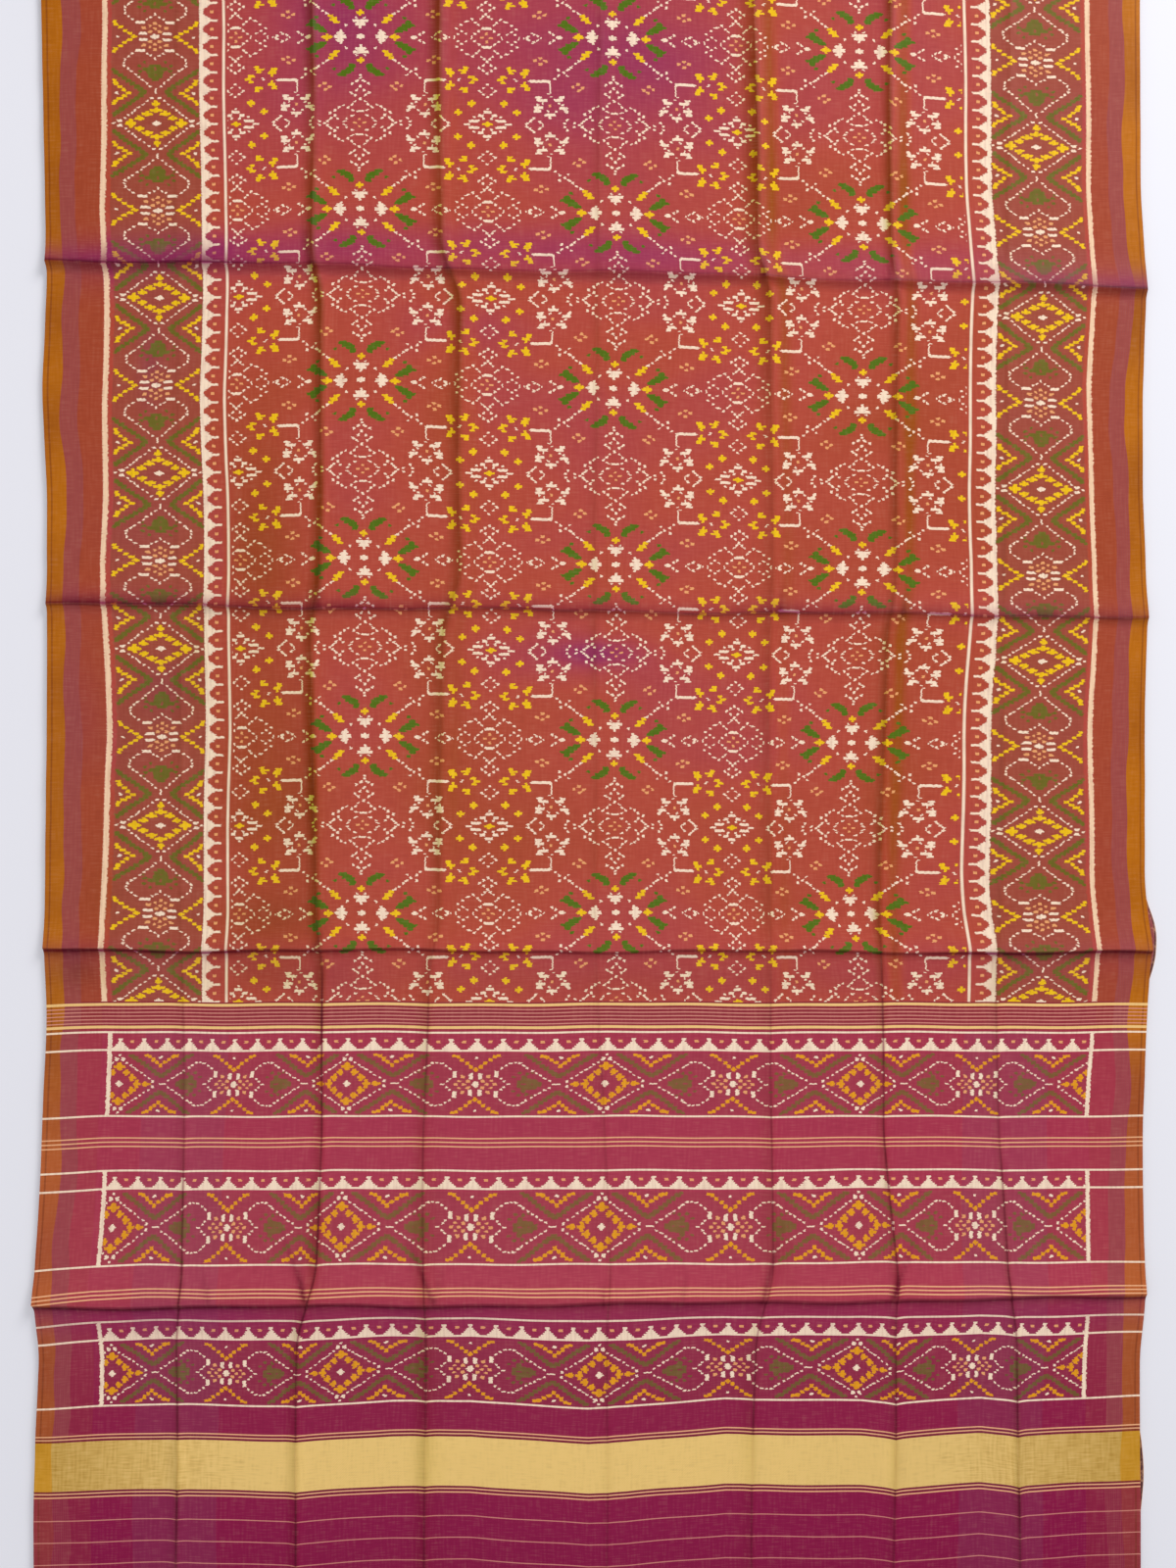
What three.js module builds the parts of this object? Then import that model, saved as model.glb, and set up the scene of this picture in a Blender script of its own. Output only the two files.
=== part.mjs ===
// Patola saree laid flat: one woven length folded in three, with the end panel (pallu) uppermost.
// Millimetres, +Z up. +X runs along the weft, +Y along the warp towards the head fold.
// The stretch that shows is one thin wall, parted in five along the feet of its pressed creases.
// The two layers under it are one rounded solid, stepped at its edges and flat below.
import * as THREE from 'three';

// ---- Driving sizes ----
const HALF_LENGTH = 915; // head fold to the pallu's end is 1830
const WALL = 1.4; // cloth wall of the stretches that show
const GAP = 0.3; // clear space between neighbouring pieces
const LAYER = 1.6; // each of the two hidden layers
const HIDDEN_LAYERS = 2;
const STACK = LAYER * HIDDEN_LAYERS; // top of the hidden layers
const REST = STACK + GAP; // underside of the wall where it lies flat
const HEAD_RADIUS = 4.0; // outside of the turn at the head
const HEAD_TURN_LOW = 0.6; // height at which the turned wall stops
const HEAD_FADE = 70; // relief dies away over this length before the turn
const SWELL = 1.1; // soft rise of the cloth between its creases
const SWELL_ACROSS = 372; // length of one rise along X
const SWELL_ALONG = 431; // length of one rise along Y
const CREASE_RISE = 40; // run of a crosswise crease on its upper side
const CREASE_DROP = 10; // run on its lower side, which falls steeply
const FOLD_RUN = 15; // run of a lengthwise crease on either side
const SLOPE_STEP = 1.5; // distance over which a slope is measured
const ROWS_BETWEEN = 5; // open rows of the grid between two creases

// ---- Edges of the stretch that shows: x of each side at stations of y ----
const SIDE_STATIONS = [
  { y: 915, left: -567, right: 555 },
  { y: 815, left: -566, right: 555 },
  { y: 615, left: -562, right: 556 },
  { y: 526, left: -560, right: 562 },
  { y: 415, left: -565, right: 558 },
  { y: 315, left: -560, right: 558 },
  { y: 185, left: -560, right: 563 },
  { y: 95, left: -560, right: 560 },
  { y: -85, left: -562, right: 560 },
  { y: -153, left: -563, right: 567 },
  { y: -225, left: -560, right: 562 },
  { y: -335, left: -565, right: 558 },
  { y: -395, left: -567, right: 558 },
  { y: -510, left: -574.5, right: 561 },
  { y: -565, left: -568, right: 555 },
  { y: -655, left: -572, right: 555 },
  { y: -740, left: -574, right: 556 },
  { y: -915, left: -572, right: 555 },
];

// ---- Edges of the hidden layers, which look out at the right in two places ----
const HIDDEN_STATIONS = [
  { y: 911.5, left: -560, right: 549 },
  { y: 700, left: -560, right: 550 },
  { y: 500, left: -556, right: 554 },
  { y: 300, left: -556, right: 553 },
  { y: 100, left: -556, right: 556 },
  { y: -60, left: -557, right: 556 },
  { y: -105, left: -558, right: 563 },
  { y: -128, left: -558, right: 573 },
  { y: -150, left: -558, right: 574.5 },
  { y: -172, left: -558, right: 572 },
  { y: -198, left: -557, right: 562 },
  { y: -250, left: -557, right: 555 },
  { y: -450, left: -562, right: 553 },
  { y: -620, left: -564, right: 552 },
  { y: -650, left: -566, right: 558 },
  { y: -690, left: -567, right: 561 },
  { y: -730, left: -568, right: 558 },
  { y: -780, left: -568, right: 551 },
  { y: -911.5, left: -567, right: 550 },
];

// ---- Crosswise creases: y at the left side, the middle and the right side, with heights ----
const CROSSWISE = [
  { name: 'first', leftY: 547, middleY: 535, rightY: 518, leftHeight: 6.2, rightHeight: 5.2 },
  { name: 'second', leftY: 198, middleY: 191, rightY: 185, leftHeight: 5.0, rightHeight: 4.2 },
  { name: 'third', leftY: -152, middleY: -153.5, rightY: -155, leftHeight: 5.0, rightHeight: 5.8 },
  { name: 'fourth', leftY: -515, middleY: -512, rightY: -504, leftHeight: 7.0, rightHeight: 6.4 },
  { name: 'fifth', leftY: -862, middleY: -860, rightY: -853, leftHeight: 4.5, rightHeight: 4.5 },
];

// ---- Lengthwise creases: x of each at stations of y, with a step aside at each crosswise crease ----
const FOLD_STATIONS = [
  { y: 915, farLeft: -428, left: -289, midLeft: -159, midRight: 160, right: 300, farRight: 422 },
  { y: 560, farLeft: -428, left: -289, midLeft: -159, midRight: 165, right: 300, farRight: 422 },
  { y: 515, farLeft: -426, left: -279, midLeft: -139, midRight: 179, right: 307, farRight: 420 },
  { y: 225, farLeft: -425, left: -282, midLeft: -139, midRight: 180, right: 307, farRight: 418 },
  { y: 170, farLeft: -424, left: -290, midLeft: -157, midRight: 178, right: 296, farRight: 416 },
  { y: -125, farLeft: -422, left: -285, midLeft: -159, midRight: 177, right: 289, farRight: 412 },
  { y: -170, farLeft: -421, left: -278, midLeft: -170, midRight: 178, right: 291, farRight: 409 },
  { y: -340, farLeft: -420, left: -279, midLeft: -175, midRight: 180, right: 293, farRight: 410 },
  { y: -485, farLeft: -421, left: -286, midLeft: -176, midRight: 180, right: 309, farRight: 420 },
  { y: -550, farLeft: -427, left: -304, midLeft: -174, midRight: 163, right: 305, farRight: 430 },
  { y: -915, farLeft: -428, left: -308, midLeft: -174, midRight: 156, right: 304, farRight: 432 },
];
const LENGTHWISE = [
  { name: 'farLeft', headHeight: 0.4, footHeight: 2.6 },
  { name: 'left', headHeight: 3.2, footHeight: 3.0 },
  { name: 'midLeft', headHeight: 2.8, footHeight: 2.4 },
  { name: 'midRight', headHeight: 3.6, footHeight: 1.2 },
  { name: 'right', headHeight: 3.0, footHeight: 2.4 },
  { name: 'farRight', headHeight: 1.0, footHeight: 3.4 },
];

const SIDE_LEFT_X = -566;
const SIDE_RIGHT_X = 560;

// Value of a named column at y, along straight runs between stations listed from head to foot.
function stationValue(stations, column, y) {
  if (y >= stations[0].y) {
    return stations[0][column];
  }
  for (let i = 1; i < stations.length; i += 1) {
    const upper = stations[i - 1];
    const lower = stations[i];
    if (y >= lower.y) {
      const t = (upper.y - y) / (upper.y - lower.y);
      return upper[column] + (lower[column] - upper[column]) * t;
    }
  }
  return stations[stations.length - 1][column];
}

// Share of the way across, 0 at the left side and 1 at the right.
function across(x) {
  return (x - SIDE_LEFT_X) / (SIDE_RIGHT_X - SIDE_LEFT_X);
}

// The line of a crosswise crease is a parabola through its three y values.
function creaseLine(crease, x) {
  const t = across(x);
  return (
    crease.leftY * (1 - t) * (1 - 2 * t) +
    crease.middleY * 4 * t * (1 - t) +
    crease.rightY * t * (2 * t - 1)
  );
}

// Share of the way from head to foot.
function headToFoot(y) {
  return (HALF_LENGTH - y) / (2 * HALF_LENGTH);
}

function foldLine(fold, y) {
  return stationValue(FOLD_STATIONS, fold.name, y);
}

// A pressed ridge falls fast from its crest and then flattens out.
function ridge(distance, run) {
  const left = Math.max(0, 1 - Math.abs(distance) / run);
  return left * left;
}

function crosswiseRelief(x, y) {
  const t = across(x);
  let height = 0;
  for (const crease of CROSSWISE) {
    const distance = y - creaseLine(crease, x);
    const run = distance > 0 ? CREASE_RISE : CREASE_DROP;
    const crest = crease.leftHeight + (crease.rightHeight - crease.leftHeight) * t;
    height += crest * ridge(distance, run);
  }
  return height;
}

function lengthwiseRelief(x, y) {
  const t = headToFoot(y);
  let height = 0;
  for (const fold of LENGTHWISE) {
    const crest = fold.headHeight + (fold.footHeight - fold.headHeight) * t;
    height += crest * ridge(x - foldLine(fold, y), FOLD_RUN);
  }
  return height;
}

function swell(x, y) {
  const wave = Math.sin((2 * Math.PI * x) / SWELL_ACROSS) * Math.cos((2 * Math.PI * y) / SWELL_ALONG);
  return SWELL * (0.5 + 0.5 * wave);
}

// Height of the wall's underside above the place where it would lie flat.
function relief(x, y) {
  const fade = Math.min(1, Math.max(0, (HALF_LENGTH - HEAD_RADIUS - y) / HEAD_FADE));
  return fade * (Math.hypot(crosswiseRelief(x, y), lengthwiseRelief(x, y)) + swell(x, y));
}

// Upright thickness that keeps the wall even where the cloth slopes.
function uprightWall(x, y) {
  const slopeX = (relief(x + SLOPE_STEP, y) - relief(x - SLOPE_STEP, y)) / (2 * SLOPE_STEP);
  const slopeY = (relief(x, y + SLOPE_STEP) - relief(x, y - SLOPE_STEP)) / (2 * SLOPE_STEP);
  return WALL * Math.sqrt(1 + slopeX * slopeX + slopeY * slopeY);
}

// Columns of the grid at y: the two edges, each lengthwise crease with its flanks, and the middles.
function columnsAt(y) {
  const left = stationValue(SIDE_STATIONS, 'left', y);
  const right = stationValue(SIDE_STATIONS, 'right', y);
  const folds = LENGTHWISE.map((fold) => foldLine(fold, y));
  const columns = [left, (left * 2 + folds[0] - FOLD_RUN) / 3];
  folds.forEach((x, i) => {
    columns.push(x - FOLD_RUN, x - FOLD_RUN * 0.4, x, x + FOLD_RUN * 0.4, x + FOLD_RUN);
    const next = i + 1 < folds.length ? folds[i + 1] : right;
    columns.push((x + next) / 2);
  });
  columns.push(right);
  return columns;
}

// Rows of a stretch, each a line of y over x. Above and below are its two boundary lines.
function rowsOf(above, crease, below) {
  const rows = [above];
  const riseFoot = (x) => creaseLine(crease, x) + CREASE_RISE;
  for (let i = 1; i < ROWS_BETWEEN; i += 1) {
    const t = i / ROWS_BETWEEN;
    rows.push((x) => above(x) + (riseFoot(x) - above(x)) * t);
  }
  for (const share of [1, 0.55, 0.25, 0]) {
    rows.push((x) => creaseLine(crease, x) + CREASE_RISE * share);
  }
  rows.push((x) => creaseLine(crease, x) - CREASE_DROP * 0.45);
  rows.push(below);
  return rows;
}

// Stations of the turn at the head, from the table side up and over: y, and the wall's two faces.
function headTurn() {
  const centreY = HALF_LENGTH - HEAD_RADIUS;
  const centreZ = REST + WALL - HEAD_RADIUS;
  const inner = HEAD_RADIUS - WALL;
  const turn = [{ outerY: HALF_LENGTH, outerZ: HEAD_TURN_LOW, innerY: centreY + inner, innerZ: HEAD_TURN_LOW }];
  for (const degrees of [0, 30, 60]) {
    const angle = (degrees * Math.PI) / 180;
    turn.push({
      outerY: centreY + HEAD_RADIUS * Math.cos(angle),
      outerZ: centreZ + HEAD_RADIUS * Math.sin(angle),
      innerY: centreY + inner * Math.cos(angle),
      innerZ: centreZ + inner * Math.sin(angle),
    });
  }
  return turn;
}

// Closed wall from a grid of top points and one of bottom points with the same rows and columns.
function closedWall(top, bottom) {
  const rowCount = top.length;
  const columnCount = top[0].length;
  const count = rowCount * columnCount;
  const positions = [...top.flat(2), ...bottom.flat(2)];
  const topAt = (r, c) => r * columnCount + c;
  const bottomAt = (r, c) => count + r * columnCount + c;
  const index = [];
  const quad = (a, b, c, d) => index.push(a, b, c, a, c, d);
  for (let r = 0; r + 1 < rowCount; r += 1) {
    for (let c = 0; c + 1 < columnCount; c += 1) {
      quad(topAt(r, c), topAt(r + 1, c), topAt(r + 1, c + 1), topAt(r, c + 1));
      quad(bottomAt(r, c), bottomAt(r, c + 1), bottomAt(r + 1, c + 1), bottomAt(r + 1, c));
    }
  }
  const last = columnCount - 1;
  for (let r = 0; r + 1 < rowCount; r += 1) {
    quad(topAt(r, 0), bottomAt(r, 0), bottomAt(r + 1, 0), topAt(r + 1, 0));
    quad(topAt(r, last), topAt(r + 1, last), bottomAt(r + 1, last), bottomAt(r, last));
  }
  const foot = rowCount - 1;
  for (let c = 0; c + 1 < columnCount; c += 1) {
    quad(topAt(0, c), topAt(0, c + 1), bottomAt(0, c + 1), bottomAt(0, c));
    quad(topAt(foot, c), bottomAt(foot, c), bottomAt(foot, c + 1), topAt(foot, c + 1));
  }
  return indexedGeometry(positions, index);
}

function indexedGeometry(positions, index) {
  const geometry = new THREE.BufferGeometry();
  geometry.setAttribute('position', new THREE.Float32BufferAttribute(positions, 3));
  geometry.setIndex(index);
  geometry.computeVertexNormals();
  return geometry;
}

// Wall of one stretch. Its rows run from the head side to the foot side.
function stretchGeometry(rows, withHeadTurn) {
  const top = [];
  const bottom = [];
  if (withHeadTurn) {
    const columns = columnsAt(HALF_LENGTH);
    for (const station of headTurn()) {
      top.push(columns.map((x) => [x, station.outerY, station.outerZ]));
      bottom.push(columns.map((x) => [x, station.innerY, station.innerZ]));
    }
  }
  for (const row of rows) {
    const nominal = columnsAt(row(0));
    const topRow = [];
    const bottomRow = [];
    nominal.forEach((nearX, c) => {
      const y = row(nearX);
      const x = columnsAt(y)[c];
      const z = REST + relief(x, y);
      topRow.push([x, y, z + uprightWall(x, y)]);
      bottomRow.push([x, y, z]);
    });
    top.push(topRow);
    bottom.push(bottomRow);
  }
  return closedWall(top, bottom);
}

// Hidden layers: rings stacked from the underside up, each with its own inset and height.
function hiddenGeometry() {
  const rings = [
    { inset: 0.5, z: 0 },
    { inset: 0, z: 0.45 },
    { inset: 0, z: 1.1 },
    { inset: 0.9, z: 1.55 },
    { inset: 2.6, z: 1.7 },
    { inset: 2.1, z: 2.0 },
    { inset: 2.1, z: 2.5 },
    { inset: 3.2, z: 3.0 },
    { inset: 4.8, z: STACK },
  ];
  const rows = HIDDEN_STATIONS.slice().reverse();
  const lastRow = rows.length - 1;
  const positions = [];
  for (const ring of rings) {
    const endShift = (r) => (r === 0 ? ring.inset : r === lastRow ? -ring.inset : 0);
    rows.forEach((row, r) => positions.push(row.left + ring.inset, row.y + endShift(r), ring.z));
    for (let r = lastRow; r >= 0; r -= 1) {
      positions.push(rows[r].right - ring.inset, rows[r].y + endShift(r), ring.z);
    }
  }
  const ringCount = rows.length * 2;
  const index = [];
  for (let k = 0; k + 1 < rings.length; k += 1) {
    for (let i = 0; i < ringCount; i += 1) {
      const a = k * ringCount + i;
      const b = k * ringCount + ((i + 1) % ringCount);
      index.push(a, a + ringCount, b, b, a + ringCount, b + ringCount);
    }
  }
  const topStart = (rings.length - 1) * ringCount;
  for (let r = 0; r < lastRow; r += 1) {
    const left = r;
    const leftNext = r + 1;
    const right = ringCount - 1 - r;
    const rightNext = ringCount - 2 - r;
    index.push(left, leftNext, right, leftNext, rightNext, right);
    index.push(topStart + left, topStart + right, topStart + leftNext);
    index.push(topStart + leftNext, topStart + right, topStart + rightNext);
  }
  return indexedGeometry(positions, index);
}

function cloth(name, colour, geometry) {
  const material = new THREE.MeshStandardMaterial({ color: colour, roughness: 0.45, metalness: 0 });
  const mesh = new THREE.Mesh(geometry, material);
  mesh.name = name;
  return mesh;
}

const [first, second, third, fourth, fifth] = CROSSWISE;
const headLine = () => HALF_LENGTH - HEAD_RADIUS;
const endLine = () => -HALF_LENGTH;
const footOf = (crease, side) => (x) => creaseLine(crease, x) - CREASE_DROP + (side * GAP) / 2;
const ABOVE = 1;
const BELOW = -1;

const headRows = rowsOf(headLine, first, footOf(first, ABOVE));
const middleRows = rowsOf(footOf(first, BELOW), second, footOf(second, ABOVE));
const lowRows = rowsOf(footOf(second, BELOW), third, footOf(third, ABOVE));
const palluStartRows = rowsOf(footOf(third, BELOW), fourth, footOf(fourth, ABOVE));
const palluEndRows = [...rowsOf(footOf(fourth, BELOW), fifth, footOf(fifth, ABOVE)), endLine];

const group = new THREE.Group();
group.name = 'patola_saree';
group.add(cloth('field_head_stretch', 0xb44c46, stretchGeometry(headRows, true)));
group.add(cloth('field_middle_stretch', 0xb8503f, stretchGeometry(middleRows, false)));
group.add(cloth('field_low_stretch', 0xb84f44, stretchGeometry(lowRows, false)));
group.add(cloth('pallu_start_stretch', 0xa43850, stretchGeometry(palluStartRows, false)));
group.add(cloth('pallu_end_stretch', 0x8c2a50, stretchGeometry(palluEndRows, false)));
group.add(cloth('folded_layers', 0xa85a34, hiddenGeometry()));

export default group;
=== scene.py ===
# %% [markdown]
# # A patola saree, laid flat and folded in three
# The saree is one woven length of shot silk. It lies on a pale floor with its end panel, the pallu,
# uppermost. This lesson gives every stretch of the cloth a thin shell in the place of its CAD solid,
# then dyes the pattern into it with shader nodes, from a chart drawn block by block.

# %% Frame and box
import math

import bpy
import numpy as np
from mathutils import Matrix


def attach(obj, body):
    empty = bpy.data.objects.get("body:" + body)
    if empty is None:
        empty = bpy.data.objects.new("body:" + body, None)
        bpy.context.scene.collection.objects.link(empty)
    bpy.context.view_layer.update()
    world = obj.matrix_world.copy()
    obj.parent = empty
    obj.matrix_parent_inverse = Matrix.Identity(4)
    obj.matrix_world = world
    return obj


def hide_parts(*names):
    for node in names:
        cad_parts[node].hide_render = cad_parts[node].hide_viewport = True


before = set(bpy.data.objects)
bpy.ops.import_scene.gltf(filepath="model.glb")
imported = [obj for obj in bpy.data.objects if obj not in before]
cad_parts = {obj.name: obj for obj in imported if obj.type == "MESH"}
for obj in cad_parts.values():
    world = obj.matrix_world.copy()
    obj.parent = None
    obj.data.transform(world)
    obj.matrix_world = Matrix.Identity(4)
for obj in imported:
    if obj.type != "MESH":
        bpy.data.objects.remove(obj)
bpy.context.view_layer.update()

# %% [markdown]
# ## Sizes
# All lengths are in millimetres until a mesh is made. x runs along the weft from side to side and y
# along the warp towards the head fold. The side stations give the slightly wavy selvedges. They could
# be a smooth curve, but a real selvedge pulls in and lets out at each crease, so stations suit better.

# %% Sizes of the folded cloth
MM = 0.001
HALF_LENGTH = 915.0
LOOM_WIDTH = 1120.0
REST = 3.5
SILK = 0.6
CLEAR = 0.4
HEAD_RADIUS = 4.0
PALLU_START_Y = -207.0

SIDE_Y = np.array([-915, -740, -655, -565, -510, -395, -335,
                   -225, -153, -85, 95, 185, 315, 415, 526, 615, 815, 915.0])
SIDE_LEFT = np.array([-572, -574, -572, -568, -574.5, -567, -565,
                      -560, -563, -562, -560, -560, -560, -565, -560, -562, -566, -567.0])
SIDE_RIGHT = np.array([555, 556, 555, 555, 561, 558, 558,
                       562, 567, 560, 560, 563, 558, 558, 562, 556, 555, 555.0])


def soft_stations(y, stations, values):
    """Value at y: straight runs between stations, averaged over five places so that no kink shows."""
    places = np.asarray(y, float)[..., None] + np.array([-12, -6, 0, 6, 12.0])
    return np.interp(places, stations, values).mean(-1)


print("widest span of the sides:", (SIDE_RIGHT - SIDE_LEFT).max(), "mm")

# %% [markdown]
# ## The creases
# A saree is stored folded, so it opens with pressed creases in both directions. A crosswise crease
# rises slowly from the head side and drops fast on the foot side. A lengthwise crease is narrower and
# alike on both sides. Cloth simulation could make folds, but not these exact ones, so each is listed
# in a table, with its own height at either end.

# %% Creases, listed one by one
# Columns: y at the left side, the middle and the right side, then height at the left and at the right.
CROSSWISE = np.array([
    (547, 535, 518, 6.2, 5.2),
    (198, 191, 185, 5.0, 4.2),
    (-152, -153.5, -155, 5.0, 5.8),
    (-515, -512, -504, 7.0, 6.4),
    (-862, -860, -853, 4.5, 4.5),
])
CREASE_RISE = 40.0
CREASE_DROP = 10.0
# Columns: height at the head and at the foot, run to either side.
LENGTHWISE = np.array([(0.3, 2.6, 13), (3.2, 3.0, 12), (2.6, 2.2, 15),
                       (0.9, 0.7, 11), (3.4, 1.0, 14), (3.0, 2.3, 13), (0.9, 3.2, 12)])
# x of each of them at stations from the foot to the head. They step aside at the crosswise creases.
FOLD_Y = np.array([-915, -550, -485, -340, -170, -125, 170, 225, 515, 560, 915])
FOLD_X = np.array([
    (-428, -427, -421, -420, -421, -422, -424, -425, -426, -428, -428),
    (-308, -304, -286, -279, -278, -285, -290, -282, -279, -289, -289),
    (-174, -174, -176, -175, -170, -159, -157, -139, -139, -159, -159),
    (10, 12, 16, 8, 2, 0, 0, 0, 2, 4, 4),
    (156, 163, 180, 180, 178, 177, 178, 180, 179, 165, 160),
    (304, 305, 309, 293, 291, 289, 296, 307, 307, 300, 300),
    (432, 430, 420, 410, 409, 412, 416, 418, 420, 422, 422),
])
# Short slanted puckers. Columns: x and y of the upper end, x and y of the lower end, height, half width.
PUCKERS = np.array([
    (-324, -425, -295, -506, 1.9, 5),
    (-305, -440, -296, -506, 1.2, 4),
    (-197, -433, -166, -508, 1.7, 5),
    (-151, -471, -163, -510, 1.0, 4),
    (10, -488, 9, -513, 1.3, 5),
    (195, -425, 172, -510, 1.9, 5),
    (337, -425, 305, -506, 1.9, 5),
    (314, -456, 306, -503, 1.1, 4),
    (-402, -470, -393, -511, 1.0, 6),
    (96, -468, 90, -511, 0.9, 6),
    (195, 228, 190, 192, 1.3, 6),
    (320, 225, 314, 189, 1.2, 6),
    (-277, 236, -281, 197, 1.1, 6),
    (-300, 592, -288, 545, 1.3, 7),
    (-158, 588, -150, 541, 1.2, 7),
    (180, 582, 172, 532, 1.4, 7),
    (306, 575, 300, 528, 1.2, 6),
    (-262, -110, -284, -150, 1.1, 7),
    (318, -112, 306, -152, 1.1, 7),
])
SIDE_LEFT_X = -566.0
SIDE_RIGHT_X = 560.0


def share_across(x):
    """0 at the left side and 1 at the right, straight between."""
    return (x - SIDE_LEFT_X) / (SIDE_RIGHT_X - SIDE_LEFT_X)


def crease_line(row, x):
    """y of a crosswise crease at x: the parabola through its left, middle and right values, swaying."""
    t = share_across(x)
    sway = 1.2 * np.sin(x / 61.0 + row[0]) + 0.7 * np.sin(x / 23.0 + 2 * row[0])
    return row[0] * (1 - t) * (1 - 2 * t) + row[1] * 4 * t * (1 - t) + row[2] * t * (2 * t - 1) + sway


def fold_line(i, y):
    """x of lengthwise crease i at y: soft runs between its stations, with a 1 mm sway."""
    return soft_stations(y, FOLD_Y, FOLD_X[i]) + np.sin(y / 61.0 + 2.4 * i)


def ridge(distance, run):
    """A pressed ridge: the square of what is left of the run, so it falls fast and then flattens."""
    return np.clip(1 - np.abs(distance) / run, 0, None) ** 2


print(len(CROSSWISE), "crosswise creases,", len(LENGTHWISE), "lengthwise,", len(PUCKERS), "puckers")

# %% [markdown]
# ## The cloth's surface
# The height of the cloth is one function of x and y for the whole length, so neighbouring stretches
# meet without a step. Each crease waxes and wanes along its line, because a pressed fold relaxes
# unevenly. Shot silk shows its orange warp on one slope and its magenta weft on the other; that sheen,
# and the shade at the creases, are painted into the colour later, from tables of their own.

# %% Height of the cloth
def crosswise_height(x, y):
    """Sum over the crosswise creases of crest times ridge, the crest swelling and shrinking along x."""
    total = np.zeros(np.broadcast(x, y).shape)
    for i, row in enumerate(CROSSWISE):
        d = y - crease_line(row, x)
        crest = row[3] + (row[4] - row[3]) * share_across(x)
        crest = crest * (1 + 0.13 * np.sin(x / 53.0 + 2.1 * i) + 0.07 * np.sin(x / 21.0 + i))
        total += crest * ridge(d, np.where(d > 0, CREASE_RISE, CREASE_DROP))
    return total


def lengthwise_height(x, y):
    """Sum over the lengthwise creases of crest times ridge, the crest changing from head to foot."""
    total = np.zeros(np.broadcast(x, y).shape)
    t = (HALF_LENGTH - y) / (2 * HALF_LENGTH)
    for i, row in enumerate(LENGTHWISE):
        crest = row[0] + (row[1] - row[0]) * t
        crest = crest * (1 + 0.22 * np.sin(y / 74.0 + 1.7 * i) + 0.12 * np.sin(y / 31.0 + i))
        total += crest * ridge(x - fold_line(i, y), row[2])
    return total


def pucker_place(row, x, y):
    """How far the pucker has faded at its two ends, as a share, and the distance to its line's side."""
    x0, y0, x1, y1 = row[:4]
    length = math.hypot(x1 - x0, y1 - y0)
    along = ((x - x0) * (x1 - x0) + (y - y0) * (y1 - y0)) / length
    aside = ((x - x0) * (y1 - y0) - (y - y0) * (x1 - x0)) / length
    return np.clip(along / length, 0, 1) * np.clip((length + 9 - along) / 9, 0, 1), aside


def pucker_height(x, y):
    """Sum over the puckers of a soft bump across each one's line, fading out at its two ends."""
    total = np.zeros(np.broadcast(x, y).shape)
    for row in PUCKERS:
        ends, aside = pucker_place(row, x, y)
        total += row[4] * ends * np.exp(-((aside / row[5]) ** 2))
    return total


def ripple_height(x, y):
    """Slow swells and slight ripples: products of sines with unrelated lengths, never below zero."""
    swell = 1.1 * (0.5 + 0.5 * np.sin(2 * np.pi * x / 372) * np.cos(2 * np.pi * y / 431))
    ripple = 0.22 * np.sin(x / 17.0 + 2.2 * np.sin(y / 83.0)) * np.sin(y / 46.0 + np.sin(x / 71.0))
    edge = 0.35 * np.sin(y / 13.0 + np.sin(y / 37.0)) * np.exp(-(560 - np.abs(x)).clip(0) / 14)
    return swell + 0.25 + ripple + edge.clip(-0.2)


def relief(x, y):
    """Height above flat: creases joined as the sides of a right triangle, plus puckers and ripples."""
    fade = np.clip((HALF_LENGTH - HEAD_RADIUS - y) / 70, 0, 1)
    creases = np.hypot(crosswise_height(x, y), lengthwise_height(x, y))
    return fade * (creases + pucker_height(x, y) + ripple_height(x, y))


print("highest crest:", round(float(relief(*np.meshgrid(np.arange(-560, 560, 4.0),
                                                        np.arange(-900, 900, 4.0))).max()), 2), "mm")

# %% [markdown]
# ## Where the pattern lies
# The pattern is woven in, so it must follow the threads and not the room. Each point of the mesh gets
# its place in the cloth: u across from the left selvedge and v down from the start of the pallu. A
# small sway bends the rows as real weft rows bend. These go into a UV map of their own.

# %% Cloth coordinates
# How far the pattern's rows sink (mm) below even spacing, and how far its columns stray to the right.
# Rows of each table go from the foot to the head, columns from the left side to the right.
SWAY_Y = np.array([-915, -675, -505, -323, -207, -117, 63, 242, 422, 601, 781, 915])
SWAY_U = np.array([0, 60, 112, 322, 577, 832, 1007, 1060, 1120])
ROW_SINK = np.array([
    (0, 0, 0, 0, 0, -2, -4, -5, -5),
    (0, 0, 0, 0, 0, -2, -4, -5, -5),
    (8, 3, 1, 0, 0, -2, -3, -3, -3),
    (2.5, 0.5, 0, 0, 0, 0, 0, 0, 0),
    (2, 0, 0, 0, 0, 0, 0, 0, 0),
    (0, 0, 0.5, 0.3, -0.8, 1.1, 3, 4, 4),
    (0, 0, -0.5, -1.1, 3.2, 5.7, 9, 10, 10),
    (-1, -1, -0.5, -3.7, 3.5, 7.9, 14.5, 15.5, 16),
    (0, 0, 0, -5.5, 3.2, 11.1, 17.5, 18.5, 19),
    (0, 0, 1, -1.1, 4, 14.8, 23, 24.5, 25),
    (3, 3, 3.5, 3.7, 4.4, 18.5, 30, 32, 33),
    (3, 3, 4, 7, 5, 20, 34, 37, 38),
])
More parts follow.
